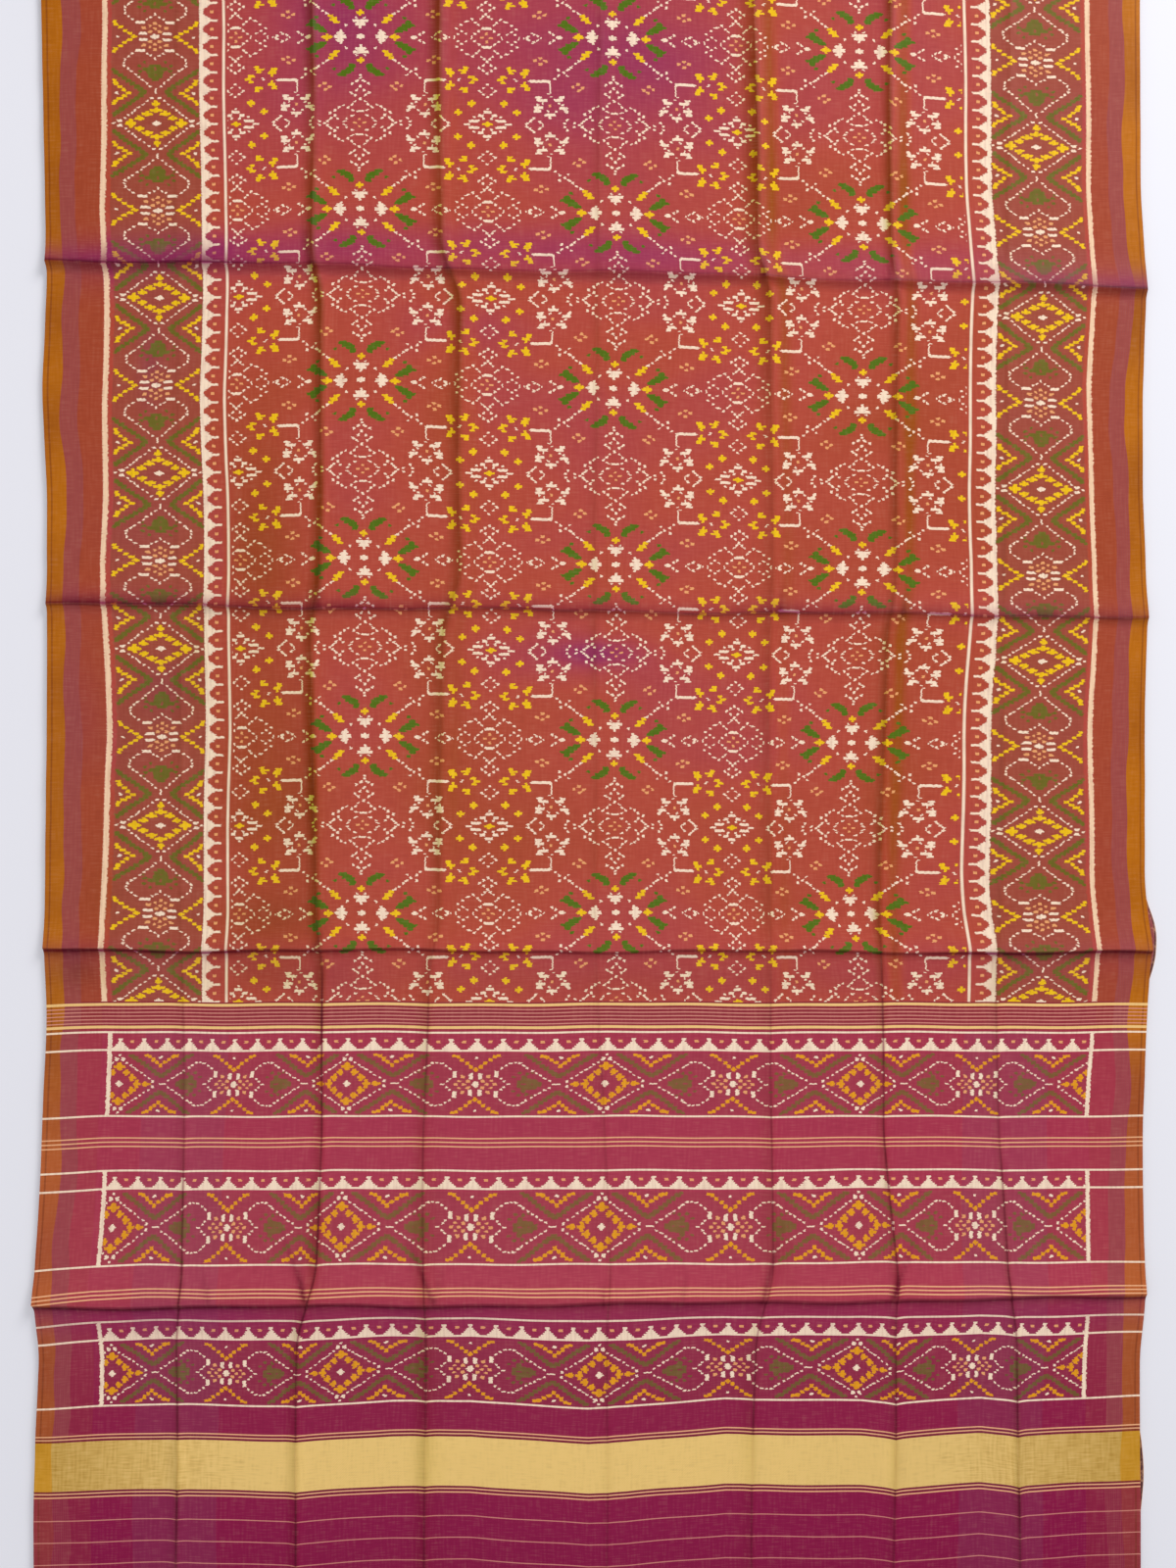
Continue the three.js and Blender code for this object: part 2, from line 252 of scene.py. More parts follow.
COLUMN_STRAY = np.array([
    (0, 0, 0, 0, 0, 0, 0, 0, 0),
    (0, 1, 0, 0, 0, 0, 1, 2, 0),
    (0, -2, 0, 0, 0, 0, 2, 3, 0),
    (0, 1, 1, 0, 1, -1, 2, 2, 0),
    (0, -1, 2, 0, 2, -4, 3, 6, 0),
    (0, -1.5, 5, -0.6, 3.4, -15, 4, 8, 0),
    (0, 4, 5, 2.8, 2.6, -12, 5, 5, 0),
    (0, -3.5, 3, 1.2, 3.3, -1, 8, 10, 0),
    (0, 4, 3, 1.8, 4.6, 2.4, 9, 6, 0),
    (0, -2, 3, -0.9, 6.5, 1.1, 7, 8.5, 0),
    (0, 4.5, 3, 2.9, 5.6, 1.2, 5, 7.5, 0),
    (0, 4, 3, 3, 5.6, 1.2, 5, 7, 0),
])
# Near its end the pallu's rows wave: how far they sink (mm) at places along x.
WAVE_X = np.array([-558, -428, -298, -208, -128, -8, 32, 132, 272, 306, 392, 432, 552])
WAVE_SINK = np.array([4, 0, 3.5, -2, -3, 5.5, 4, -4, -1, 3, -3, 1, -3.0])


def table_value(table, u, y):
    """Straight between a table's stations both ways: each column's value at y, weighed by how near u is."""
    total = np.zeros(np.broadcast(u, y).shape)
    for column, peak in zip(table.T, np.eye(len(SWAY_U))):
        total += np.interp(y, SWAY_Y, column) * np.interp(u, SWAY_U, peak)
    return total


def cloth_place(x, y):
    """u is the share of the way between the two sides, times the loom width, less the pattern's stray; v
    is the distance below the pallu's start, less the rows' sinking. Both also tremble by half a mm."""
    left = soft_stations(y, SIDE_Y, SIDE_LEFT)
    right = soft_stations(y, SIDE_Y, SIDE_RIGHT)
    u = LOOM_WIDTH * (x - left) / (right - left)
    tremble = 0.5 * np.sin(y / 29.0 + x / 90.0) * np.clip(np.minimum(u, LOOM_WIDTH - u) / 40, 0, 1)
    wave = 0.5 * np.sin(x / 43.0 + 0.7) + 0.3 * np.sin(x / 17.0 + y / 50.0)
    sink = table_value(ROW_SINK, u, y) + np.interp(x, WAVE_X, WAVE_SINK) * np.clip((-490 - y) / 90, 0, 1)
    return u - table_value(COLUMN_STRAY, u, y) + tremble, PALLU_START_Y - y - sink + wave


# Painted sheen, and in places painted shade: soft patches where the magenta weft shows more (plus) or the
# orange warp does (minus).
# Columns: x, y, reach along x, reach along y, amount.
SHEEN_AND_SHADE_PATCHES = np.array([
    (-60, 765, 300, 95, 0.30),
    (-255, 790, 60, 60, 0.22),
    (60, 690, 130, 90, 0.12),
    (-220, 562, 340, 24, 0.34),
    (240, 548, 320, 20, 0.22),
    (-345, 290, 52, 110, -0.26),
    (-335, 20, 58, 165, -0.28),
    (-110, 10, 90, 160, -0.12),
    (-150, 425, 26, 95, -0.20),
    (-165, 100, 30, 120, -0.12),
    (160, 720, 30, 160, -0.12),
    (330, 300, 120, 260, -0.12),
    (300, 40, 40, 120, -0.18),
    (0, -182, 600, 30, 0.10),
    (60, 130, 260, 50, 0.10),
    (-530, 95, 34, 60, 0.40),
    (-520, 545, 60, 30, 0.35),
    (530, 380, 30, 160, -0.15),
    (-505, -90, 26, 60, -0.35),
    (-60, 380, 200, 60, 0.06),
    (2, 148, 40, 13, 0.42),
    (-40, 150, 70, 30, 0.12),
    (-130, 480, 60, 26, 0.16),
    (60, 500, 90, 30, 0.10),
    (-455, 440, 12, 50, 0.30),
    (-420, 560, 60, 14, 0.30),
    (-442, 110, 34, 36, 0.34),
    (-385, 250, 14, 70, 0.22),
])
# Painted shade: patches that lean away from the light and so look browner, in the same columns.
BROWN_SHADE_PATCHES = np.array([
    (-345, 250, 36, 100, 0.30),
    (-300, 20, 18, 150, 0.24),
    (-345, 40, 42, 150, 0.20),
    (-408, 150, 9, 70, 0.30),
    (-150, 130, 26, 60, 0.14),
    (205, 640, 14, 90, 0.12),
    (-330, -122, 50, 24, 0.40),
    (-330, -178, 60, 22, 0.36),
    (-480, 40, 10, 60, 0.14),
    (-528, -174, 26, 18, 0.55),
    (-440, 108, 30, 34, 0.16),
    (40, -184, 420, 18, 0.16),
    (-172, -560, 14, 260, 0.22),
    (-290, -470, 16, 60, 0.18),
    (190, -455, 16, 50, 0.16),
])
# Painted sheen and shade along each crosswise crease: purple above and its reach, dark above and its
# reach, dark below and its reach, purple below and its reach, how bright its painted highlight on the
# crest is, then how far above the crest its thin dark line lies, and the depth of that line. The purple
# is painted sheen and shade, the dark and the thin line painted shade.
CROSSWISE_SHEEN_AND_SHADE = np.array([
    (0.95, 16, 0.35, 5, 0.40, 7, 0.20, 14, 0.0, 1.5, 0.8),
    (0.30, 15, 0.70, 8, 0.25, 2, 0.10, 14, 0.2, 0.0, 0.8),
    (0.20, 12, 0.10, 4, 0.35, 9, 0.20, 26, 0.1, -2.4, 1.1),
    (0.10, 8, 0.05, 4, 0.14, 7, 0.60, 24, 0.1, -4.3, 1.2),
    (0.10, 8, 0.20, 4, 0.45, 6, 0.70, 20, 0.3, -2.7, 0.8),
])
# The share of that painted sheen, shade and highlight at seven places from the left side to the right.
TINT_X = np.array([-560, -400, -290, 0, 330, 410, 560])
CROSSWISE_SHARES = np.array([
    (1.1, 1.0, 0.45, 0.30, 0.3, 0.65, 0.75),
    (1.0, 1.0, 0.85, 0.7, 0.75, 0.7, 0.6),
    (1.2, 0.9, 0.5, 0.25, 0.3, 0.9, 1.0),
    (1.3, 1.0, 0.7, 0.5, 0.45, 0.5, 0.8),
    (0.8, 0.8, 0.7, 0.6, 0.6, 0.7, 0.8),
])
# How strongly each lengthwise crease turns gold-brown, as painted shade and sheen, at seven places from
# head to foot, and its reach.
TINT_Y = np.array([-860, -512, -153, 191, 420, 535, 800])
LENGTHWISE_SHADE_STRENGTH = np.array([
    (0.55, 0.75, 0.15, 0.10, 0.10, 0.10, 0.20),
    (0.55, 0.75, 0.90, 1.00, 0.95, 1.00, 0.75),
    (0.45, 0.55, 0.45, 0.70, 0.80, 0.95, 0.95),
    (0.25, 0.30, 0.15, 0.25, 0.20, 0.25, 0.20),
    (0.45, 0.55, 0.30, 0.30, 0.45, 0.95, 1.00),
    (0.45, 0.65, 0.80, 0.70, 0.60, 0.95, 1.00),
    (0.60, 0.75, 0.20, 0.15, 0.10, 0.15, 0.10),
])
# Reach of the brown to the left and to the right of each crease.
BROWN_REACHES = np.array([(4, 3), (10, 4), (11, 4.4), (7, 4), (15, 4.4), (7, 4), (5, 4)])
# How far the band to the right of each crease turns to the orange warp, as painted sheen, at the same seven
# places.
LENGTHWISE_GOLD_SHEEN = np.array([
    (0.1, 0.1, 0.0, 0.0, 0.0, 0.0, 0.0),
    (0.2, 0.2, 0.0, 0.0, 0.0, 0.0, 0.1),
    (0.1, 0.2, 0.1, 0.2, 0.1, 0.1, 0.1),
    (0.0, 0.1, 0.0, 0.1, 0.1, 0.1, 0.1),
    (0.1, 0.2, 0.2, 0.3, 0.6, 0.9, 1.0),
    (0.2, 0.4, 0.6, 0.8, 0.8, 1.0, 0.9),
    (0.2, 0.2, 0.1, 0.0, 0.0, 0.0, 0.0),
])


def patch_sum(patches, x, y):
    """Sum of round patches, each its amount times a bell over its two reaches."""
    total = np.zeros(np.broadcast(x, y).shape)
    for px, py, rx, ry, amount in patches:
        total += amount * np.exp(-(((x - px) / rx) ** 2) - ((y - py) / ry) ** 2)
    return total


def bell(distance, reach, power=2):
    """1 at distance 0, falling away past the reach; power 4 keeps it level for longer."""
    return np.exp(-(np.abs(distance / reach) ** power))


def lengthwise_painted_light(x, y):
    """Painted shade and sheen along the lengthwise creases: brown bands of painted shade and sheen, a thin
    dark line of painted shade on each crest, and a gold band of painted sheen beside it. In the pallu the
    brown is faint and the dark line strong."""
    in_pallu = np.clip((-120 - y) / 100, 0, 1)
    brown, dark, gold = np.zeros((3, *np.broadcast(x, y).shape))
    for i, (left_reach, right_reach) in enumerate(BROWN_REACHES):
        uneven = 1 + 0.15 * np.sin(y / 41.0 + i) + 0.1 * np.sin(y / 17.0 + 2 * i)
        strength = np.interp(y, TINT_Y, LENGTHWISE_SHADE_STRENGTH[i]) * uneven
        d = x - fold_line(i, y)
        reach = np.where(d < 0, left_reach, right_reach)
        brown += (1 - 0.6 * in_pallu) * strength * (0.5 * bell(d, reach, 4) + 0.45 * bell(d, 0.5 * reach))
        dark += (0.12 + 1.05 * in_pallu) * strength * bell(d, 1.1)
        gold += np.interp(y, TINT_Y, LENGTHWISE_GOLD_SHEEN[i]) * uneven * bell(d - 10 - right_reach, 6)
    return brown, dark, gold


def crosswise_painted_light(x, y):
    """Painted sheen and shade at each crosswise crease: purple and dark on either side of its thin dark
    line of painted shade, and a painted highlight along its crest.
    """
    purple = np.zeros(np.broadcast(x, y).shape)
    dark = np.zeros(purple.shape)
    crest = np.zeros(purple.shape)
    for i, row in enumerate(CROSSWISE):
        share = (np.interp(x, TINT_X, CROSSWISE_SHARES[i])
                 * (1 + 0.18 * np.sin(x / 37.0 + 2 * i) + 0.12 * np.sin(x / 14.0 + i)))
        tint = CROSSWISE_SHEEN_AND_SHADE[i]
        d = y - crease_line(row, x) - tint[9]
        above = d > 0
        purple += share * np.where(above, tint[0] * bell(d, tint[1]), tint[6] * bell(d, tint[7]))
        dark += share * np.where(above, tint[2] * bell(d, tint[3]), tint[4] * bell(d, tint[5]))
        dark += (0.5 + 0.5 * share) * tint[10] * bell(d, 1.5)
        # The painted highlight along the crest.
        crest += tint[8] * bell(d + tint[9], 0.6) * (0.6 + 0.4 * share)
    return purple, dark * (1 - crest.clip(0, 1)), crest


def pucker_shade(x, y):
    """Painted shade: a thin dark line down one flank of every pucker."""
    total = np.zeros(np.broadcast(x, y).shape)
    for row in PUCKERS:
        ends, aside = pucker_place(row, x, y)
        total += 0.36 * row[4] * ends * bell(aside - 1.6, 2.6)
    return total


print("a point at the middle lies at",
      [round(float(v), 1) for v in cloth_place(np.array(0.0), np.array(0.0))])

# %% [markdown]
# ## Closed shells
# A sheet in Blender still needs two faces and an edge, or it has no inside. Solidify could add them,
# but the shells here meet edge to edge along the creases, so both faces are worked out directly and
# the rim is stitched between them. A second UV map spreads each shell for the exporter's colour bake.

# %% From two grids to a closed shell
def grid_quads(rows, columns, start=0):
    """Corner numbers of every cell of a grid whose points are counted row by row from start."""
    corner = start + np.arange(rows - 1)[:, None] * columns + np.arange(columns - 1)[None, :]
    return np.stack([corner, corner + columns, corner + columns + 1, corner + 1], -1).reshape(-1, 4)


def rim_loop(rows, columns):
    """Numbers of a grid's border points in order, once round."""
    top = np.arange(columns)
    right = np.arange(1, rows) * columns + columns - 1
    foot = (rows - 1) * columns + np.arange(columns - 2, -1, -1)
    left = np.arange(rows - 2, 0, -1) * columns
    return np.concatenate([top, right, foot, left])


def shell_faces(rows, columns):
    """Outer cells, inner cells turned over, and a rim of cells that joins the two borders."""
    count = rows * columns
    outer = grid_quads(rows, columns)
    inner = grid_quads(rows, columns, count)[:, ::-1]
    loop = rim_loop(rows, columns)
    after = np.roll(loop, -1)
    rim = np.stack([loop, after, after + count, loop + count], -1)
    return outer, inner, rim


def bake_spread(rows, columns, rim_count):
    """UV of every face corner for the bake: the outer face's left and right halves one over the other,
    the inner face in a thin strip above them, and the rim in the last strip."""
    r, c = np.divmod(np.arange((rows - 1) * (columns - 1)), columns - 1)
    corners_r = np.stack([r, r + 1, r + 1, r], -1) / (rows - 1)
    corners_c = np.stack([c, c, c + 1, c + 1], -1)
    middle = (columns - 1) // 2
    half = (c >= middle)[:, None]
    width = np.where(half, columns - 1 - middle, middle)
    outer = np.stack([0.005 + 0.99 * (corners_c - np.where(half, middle, 0)) / width,
                      np.where(half, 0.475, 0.005) + 0.46 * (1 - corners_r)], -1)
    inner = np.stack([0.005 + 0.99 * corners_c / (columns - 1), 0.945 + 0.03 * corners_r], -1)[:, ::-1]
    step = np.arange(rim_count) / rim_count
    rim = np.stack([np.stack([step, step + 1 / rim_count, step + 1 / rim_count, step], -1),
                    np.broadcast_to([0.982, 0.982, 0.996, 0.996], (rim_count, 4))], -1)
    return np.concatenate([outer, inner, rim]).reshape(-1, 2)


print("a 3 by 3 shell has", sum(len(f) for f in shell_faces(3, 3)), "faces")


# %% The mesh and its maps
def put_maps(mesh, corners, places, bake_uv, drape):
    """Writes the cloth's own coordinates, the bake's spread and the painted light values onto the mesh:
    painted sheen, shade and crest highlight.
    """
    cloth_map = mesh.uv_layers.new(name="cloth")
    cloth_map.uv.foreach_set("vector", (places[corners] * MM).astype(np.float32).ravel())
    bake_map = mesh.uv_layers.new(name="OFBake")
    bake_map.uv.foreach_set("vector", bake_uv.astype(np.float32).ravel())
    drape_light_map = mesh.attributes.new("drape", "FLOAT_COLOR", "POINT")
    drape_light_map.data.foreach_set("color", drape[:, :4].astype(np.float32).ravel())
    # crest: the strength of the painted highlight along each crosswise crest.
    crest_map = mesh.attributes.new("crest", "FLOAT", "POINT")
    crest_map.data.foreach_set("value", drape[:, 4].astype(np.float32))


def mesh_from_shell(name, outer, inner, places, drape):
    """A closed shell from two grids of points in mm, with smooth faces and a sharp rim."""
    rows, columns = outer.shape[:2]
    faces = shell_faces(rows, columns)
    points = np.concatenate([outer.reshape(-1, 3), inner.reshape(-1, 3)]) * MM
    quads = np.concatenate(faces)
    mesh = bpy.data.meshes.new(name)
    mesh.from_pydata(points.tolist(), [], quads.tolist())
    mesh.shade_smooth()
    both = np.concatenate([places.reshape(-1, 2)] * 2)
    shades = np.concatenate([drape.reshape(-1, 5)] * 2)
    put_maps(mesh, quads.ravel(), both, bake_spread(rows, columns, len(faces[2])), shades)
    mark_sharp_rim(mesh, faces[2], len(points))
    obj = bpy.data.objects.new(name, mesh)
    bpy.context.scene.collection.objects.link(obj)
    return obj


def mark_sharp_rim(mesh, rim, point_count):
    """Marks the edges on either side of the rim as sharp, so that shading doesn't bend round them."""
    ends = np.empty(len(mesh.edges) * 2, int)
    mesh.edges.foreach_get("vertices", ends)
    keys = np.sort(ends.reshape(-1, 2), 1) @ np.array([point_count, 1])
    pairs = np.sort(np.concatenate([rim[:, :2], rim[:, 2:]]), 1) @ np.array([point_count, 1])
    sharp = mesh.attributes.new("sharp_edge", "BOOLEAN", "EDGE")
    sharp.data.foreach_set("value", np.isin(keys, pairs))


print("meshes carry the maps: cloth, OFBake, drape and crest")

# %% [markdown]
# ## The five stretches that show
# Each stretch runs from the foot of one crease to the foot of the next, where shade, part real and part
# painted, hides the join. Its rows follow the crease and crowd together at the crest, which keeps the
# pressed line crisp without a fine mesh everywhere. The last one ends plainly at the pallu's end.

# %% Rows and columns of a stretch
COLUMN_STEP = 3.9
ROW_STEP = 4.2
FINE_STEPS = np.array([0, 0.8, 1.7, 2.9, 4.6])


def key_lines(y):
    """x of the left side, of each lengthwise crease and of the right side at y, stacked."""
    folds = [fold_line(i, y) for i in range(len(FOLD_X))]
    return np.stack([soft_stations(y, SIDE_Y, SIDE_LEFT), *folds, soft_stations(y, SIDE_Y, SIDE_RIGHT)])


def column_places():
    """For each column, the number of the key line before it plus its share of the way to the next one.
    Columns are even but for the fine steps on either side of a key line."""
    places = []
    for k, gap in enumerate(np.diff(key_lines(np.zeros(1))[:, 0])):
        near = FINE_STEPS[:-1] / gap
        first = FINE_STEPS[-1] / gap
        middle = np.linspace(first, 1 - first, int(round(gap * (1 - 2 * first) / COLUMN_STEP)) + 1)
        places += [k + near, k + middle, k + 1 - near[:0:-1]]
    return np.append(np.concatenate(places), len(LENGTHWISE) + 1)


def columns_at(y, places):
    """x of every column at the y of each of its points: its share of the way between two key lines."""
    before = np.minimum(places.astype(int), len(LENGTHWISE))
    share = places - before
    lines = key_lines(y)
    each = np.arange(len(places))
    return lines[before, :, each].T * (1 - share) + lines[before + 1, :, each].T * share


COLUMNS = column_places()
print("columns:", len(COLUMNS))


def stretch_rows(above, crease, below, past=None):
    """Lines of y over x: even rows down to the crease's rise, close rows over its crest and drop, and
    even rows on to the end where there is one. Each array row is one line."""
    def lines(x):
        top = above(x)
        line = crease_line(crease, x)
        foot = below(x)
        near = line + 16
        count = int(round(float((top - near).mean()) / ROW_STEP))
        upper = [top + (near - top) * t for t in np.linspace(0, 1, count, endpoint=False)]
        crest = [line + 16 * t for t in (1, 0.85, 0.7, 0.56, 0.43, 0.31, 0.2, 0.11, 0.04, 0)]
        drop = [line + (foot - line) * t for t in (0.12, 0.27, 0.43, 0.6, 0.8, 1)]
        rows = upper + crest + drop
        if past is not None:
            tail = int(round(float((foot - past(x)).mean()) / ROW_STEP))
            rows += [foot + (past(x) - foot) * t for t in np.linspace(0, 1, tail + 1)[1:]]
        return np.stack(rows)
    return lines


def stretch_grid(lines):
    """Points of the outer face's plan: the rows are the lines, the columns follow the creases."""
    y = lines(columns_at(np.zeros((1, len(COLUMNS))), COLUMNS)[0])
    return columns_at(y, COLUMNS), y


def foot_of(i):
    return lambda x: crease_line(CROSSWISE[i], x) - CREASE_DROP


def painted_drape_light(x, y):
    """Five values of painted light for each point: a shift towards magenta (painted sheen), brown (painted
    shade and sheen), purple (painted sheen and shade), dark (painted shade), and the painted highlight on
    the crest.
    """
    brown, thin_dark, gold = lengthwise_painted_light(x, y)
    purple, dark, crest = crosswise_painted_light(x, y)
    sheen_drift = 0.5 + patch_sum(SHEEN_AND_SHADE_PATCHES, x, y) - 0.45 * gold
    return np.stack([sheen_drift, brown + patch_sum(BROWN_SHADE_PATCHES, x, y),
                     purple, dark + thin_dark + pucker_shade(x, y), crest], -1)


x, y = stretch_grid(stretch_rows(foot_of(0), CROSSWISE[1], foot_of(1)))
print("rows and columns of the middle stretch:", x.shape)


# %% The stretches
def faces_of(x, y):
    """Outer face at the relief's height, inner face one silk's thickness under it."""
    z = REST + CLEAR + relief(x, y)
    return np.stack([x, y, z + SILK], -1), np.stack([x, y, z], -1)


def head_turn(x_row):
    """Points of the cloth's turn at the head: down from the flat, round a quarter circle, to the floor
    side. Rows run from the lowest point up to where the flat begins."""
    angle = np.radians([0, 11, 22, 34, 46, 58, 70, 80])
    centre_y = HALF_LENGTH - HEAD_RADIUS
    centre_z = REST + CLEAR + SILK - HEAD_RADIUS
    low = np.array([0.7, 0.7 + (centre_z - 0.7) * 0.5])
    outer_y = np.concatenate([[HALF_LENGTH] * 2, centre_y + HEAD_RADIUS * np.cos(angle)])
    outer_z = np.concatenate([low, centre_z + HEAD_RADIUS * np.sin(angle)])
    inside = HEAD_RADIUS - SILK
    inner_y = np.concatenate([[centre_y + inside] * 2, centre_y + inside * np.cos(angle)])
    inner_z = np.concatenate([low, centre_z + inside * np.sin(angle)])
    x = np.broadcast_to(x_row, (len(outer_y), len(x_row)))
    stack = lambda ys, zs: np.stack([x, np.broadcast_to(ys[:, None], x.shape),
                                     np.broadcast_to(zs[:, None], x.shape)], -1)
    return stack(outer_y, outer_z), stack(inner_y, inner_z)


def weave_stretch(name, lines, with_turn=False):
    """Makes one stretch: its two faces, its cloth coordinates and its painted light values, in one mesh."""
    x, y = stretch_grid(lines)
    outer, inner = faces_of(x, y)
    places = np.stack(cloth_place(x, y), -1)
    drape = painted_drape_light(x, y)
    if with_turn:
        turn_outer, turn_inner = head_turn(x[0])
        run = np.linalg.norm(np.diff(turn_outer[:, 0], axis=0), axis=1)
        back = np.cumsum(run[::-1])[::-1]
        back = np.append(back, 0) + np.linalg.norm(turn_outer[-1, 0] - outer[0, 0])
        turn_places = places[0] - np.stack([np.zeros(back.shape), back], -1)[:, None, :]
        outer = np.concatenate([turn_outer, outer])
        inner = np.concatenate([turn_inner, inner])
        places = np.concatenate([turn_places, places])
        drape = np.concatenate([np.repeat(drape[:1], len(turn_outer), 0), drape])
    return mesh_from_shell(name, outer, inner, places, drape)


head_line = lambda x: np.full_like(x, HALF_LENGTH - HEAD_RADIUS)
end_line = lambda x: np.full_like(x, -HALF_LENGTH)
stretches = {
    "field_head_stretch": weave_stretch(
        "silk_field_head", stretch_rows(head_line, CROSSWISE[0], foot_of(0)), True),
    "field_middle_stretch": weave_stretch(
        "silk_field_middle", stretch_rows(foot_of(0), CROSSWISE[1], foot_of(1))),
    "field_low_stretch": weave_stretch(
        "silk_field_low", stretch_rows(foot_of(1), CROSSWISE[2], foot_of(2))),
    "pallu_start_stretch": weave_stretch(
        "silk_pallu_start", stretch_rows(foot_of(2), CROSSWISE[3], foot_of(3))),
    "pallu_end_stretch": weave_stretch(
        "silk_pallu_end", stretch_rows(foot_of(3), CROSSWISE[4], foot_of(4), end_line)),
}
for node, obj in stretches.items():
    print(node, len(obj.data.polygons) * 2, "triangles")

# %% [markdown]
# ## The folded layers underneath
# Two more layers of the same silk lie hidden. Only their edges can be seen, so they share one rounded
# piece whose sides step from one layer to the next, and which looks out at the right in two places.
# Its underside is flat on the floor.

# %% Edges of the hidden layers
HIDDEN_Y = np.array([-911.5, -780, -730, -690, -650, -620, -450, -250,
                     -198, -172, -150, -128, -105, -60, 100, 300, 500, 700, 911.5])
HIDDEN_LEFT = np.array([-567, -568, -568, -567, -566, -564, -562, -557,
                        -557, -558, -558, -558, -558, -557, -556, -556, -556, -560, -560.0])
HIDDEN_RIGHT = np.array([550, 551, 558, 561, 558, 552, 553, 555,
                         562, 572, 574.5, 573, 563, 556, 556, 553, 554, 550, 549.0])
# Rings from the underside up. Columns: inset and height.
LAYER_RINGS = np.array([
    (0.7, 0.0), (0.2, 0.2), (0.0, 0.5), (0.0, 0.9), (0.2, 1.2), (0.8, 1.4), (2.4, 1.5), (2.9, 1.55),
    (2.3, 1.65), (1.9, 1.9), (1.9, 2.4), (2.2, 2.75), (2.9, 3.0), (4.6, 3.15), (9.0, 3.2),
])


def layer_outline():
    """Plan of the hidden layers, once round: the left side from foot to head, then the right side back."""
    y = np.linspace(-911.5, 911.5, 366)
    left = soft_stations(y, HIDDEN_Y, HIDDEN_LEFT) + 0.5 * np.sin(y / 19.0)
    right = soft_stations(y, HIDDEN_Y, HIDDEN_RIGHT) + 0.4 * np.sin(y / 23.0) - 0.4
    return y, left, right


def layer_points():
    """Each ring is the outline drawn in by its inset, at its height; the upper layer strays a little."""
    y, left, right = layer_outline()
    inset = (LAYER_RINGS[:, 0][:, None]
             + np.where(LAYER_RINGS[:, 1] > 1.5, 1, 0)[:, None] * 1.1 * (1 + np.sin(y / 57.0)))
    ends = np.zeros_like(y)
    ends[0], ends[-1] = 1, -1
    rows_y = y + ends * LAYER_RINGS[:, 0][:, None]
    z = np.broadcast_to(LAYER_RINGS[:, 1][:, None], rows_y.shape)
    left_side = np.stack([left + inset, rows_y, z], -1)
    right_side = np.stack([right - inset, rows_y, z], -1)[:, ::-1]
    return np.concatenate([left_side, right_side], 1)


points = layer_points()
rings, around = points.shape[:2]
print("hidden layers:", rings, "rings of", around, "points")


# %% The hidden layers' mesh
def layer_faces(rings, around):
    """Walls between rings, then flat cells across the lowest and the highest ring, row by row."""
    k, i = np.divmod(np.arange((rings - 1) * around), around)
    after = (i + 1) % around
    walls = np.stack([k * around + i, (k + 1) * around + i, (k + 1) * around + after, k * around + after],
                     -1)
    row = np.arange(around // 2 - 1)
    floor = np.stack([row, row + 1, around - 2 - row, around - 1 - row], -1)
    top = (floor + (rings - 1) * around)[:, ::-1]
    return walls, floor, top


def layer_bake_spread(points, walls, floor, top):
    """The walls lie in a strip along the bottom of the map, the two flat faces in halves above it."""
    k, i = np.divmod(walls, points.shape[1])
    i = np.where((walls % points.shape[1] == 0) & (np.arange(4) >= 2), points.shape[1], i)
    wall_uv = np.stack([0.005 + 0.99 * i / points.shape[1], 0.005 + 0.28 * k / (points.shape[0] - 1)], -1)
    flat = points.reshape(-1, 3)
    spread = lambda cells, x0: np.stack([x0 + 0.49 * (flat[cells][..., 0] + 575) / 1150,
                                         0.3 + 0.69 * (flat[cells][..., 1] + 915) / 1830], -1)
    return np.concatenate([wall_uv, spread(floor, 0.005), spread(top, 0.505)]).reshape(-1, 2)


walls, floor_cells, top_cells = layer_faces(rings, around)
quads = np.concatenate([walls, floor_cells, top_cells])
mesh = bpy.data.meshes.new("folded_silk_layers")
mesh.from_pydata((points.reshape(-1, 3) * MM).tolist(), [], quads.tolist())
mesh.shade_smooth()
flat_points = points.reshape(-1, 3)
put_maps(mesh, quads.ravel(), np.stack(cloth_place(flat_points[:, 0], flat_points[:, 1]), -1),
         layer_bake_spread(points, walls, floor_cells, top_cells), np.full((len(flat_points), 5), 0.5))
folded = bpy.data.objects.new("folded_silk_layers", mesh)
bpy.context.scene.collection.objects.link(folded)
print("folded layers:", len(quads) * 2, "triangles")

# %% [markdown]
# ## The chart of the pattern
# A patola is tied and dyed before it is woven, cell by cell, from a chart on squared paper. The field's
# repeat mirrors both ways, so a quarter of it is enough. Each mark below is a block of dyed thread:
# its middle, its width and height in mm, and its colour. Drawing the marks on a grid of cells gives the
# stepped edges of the real thing.

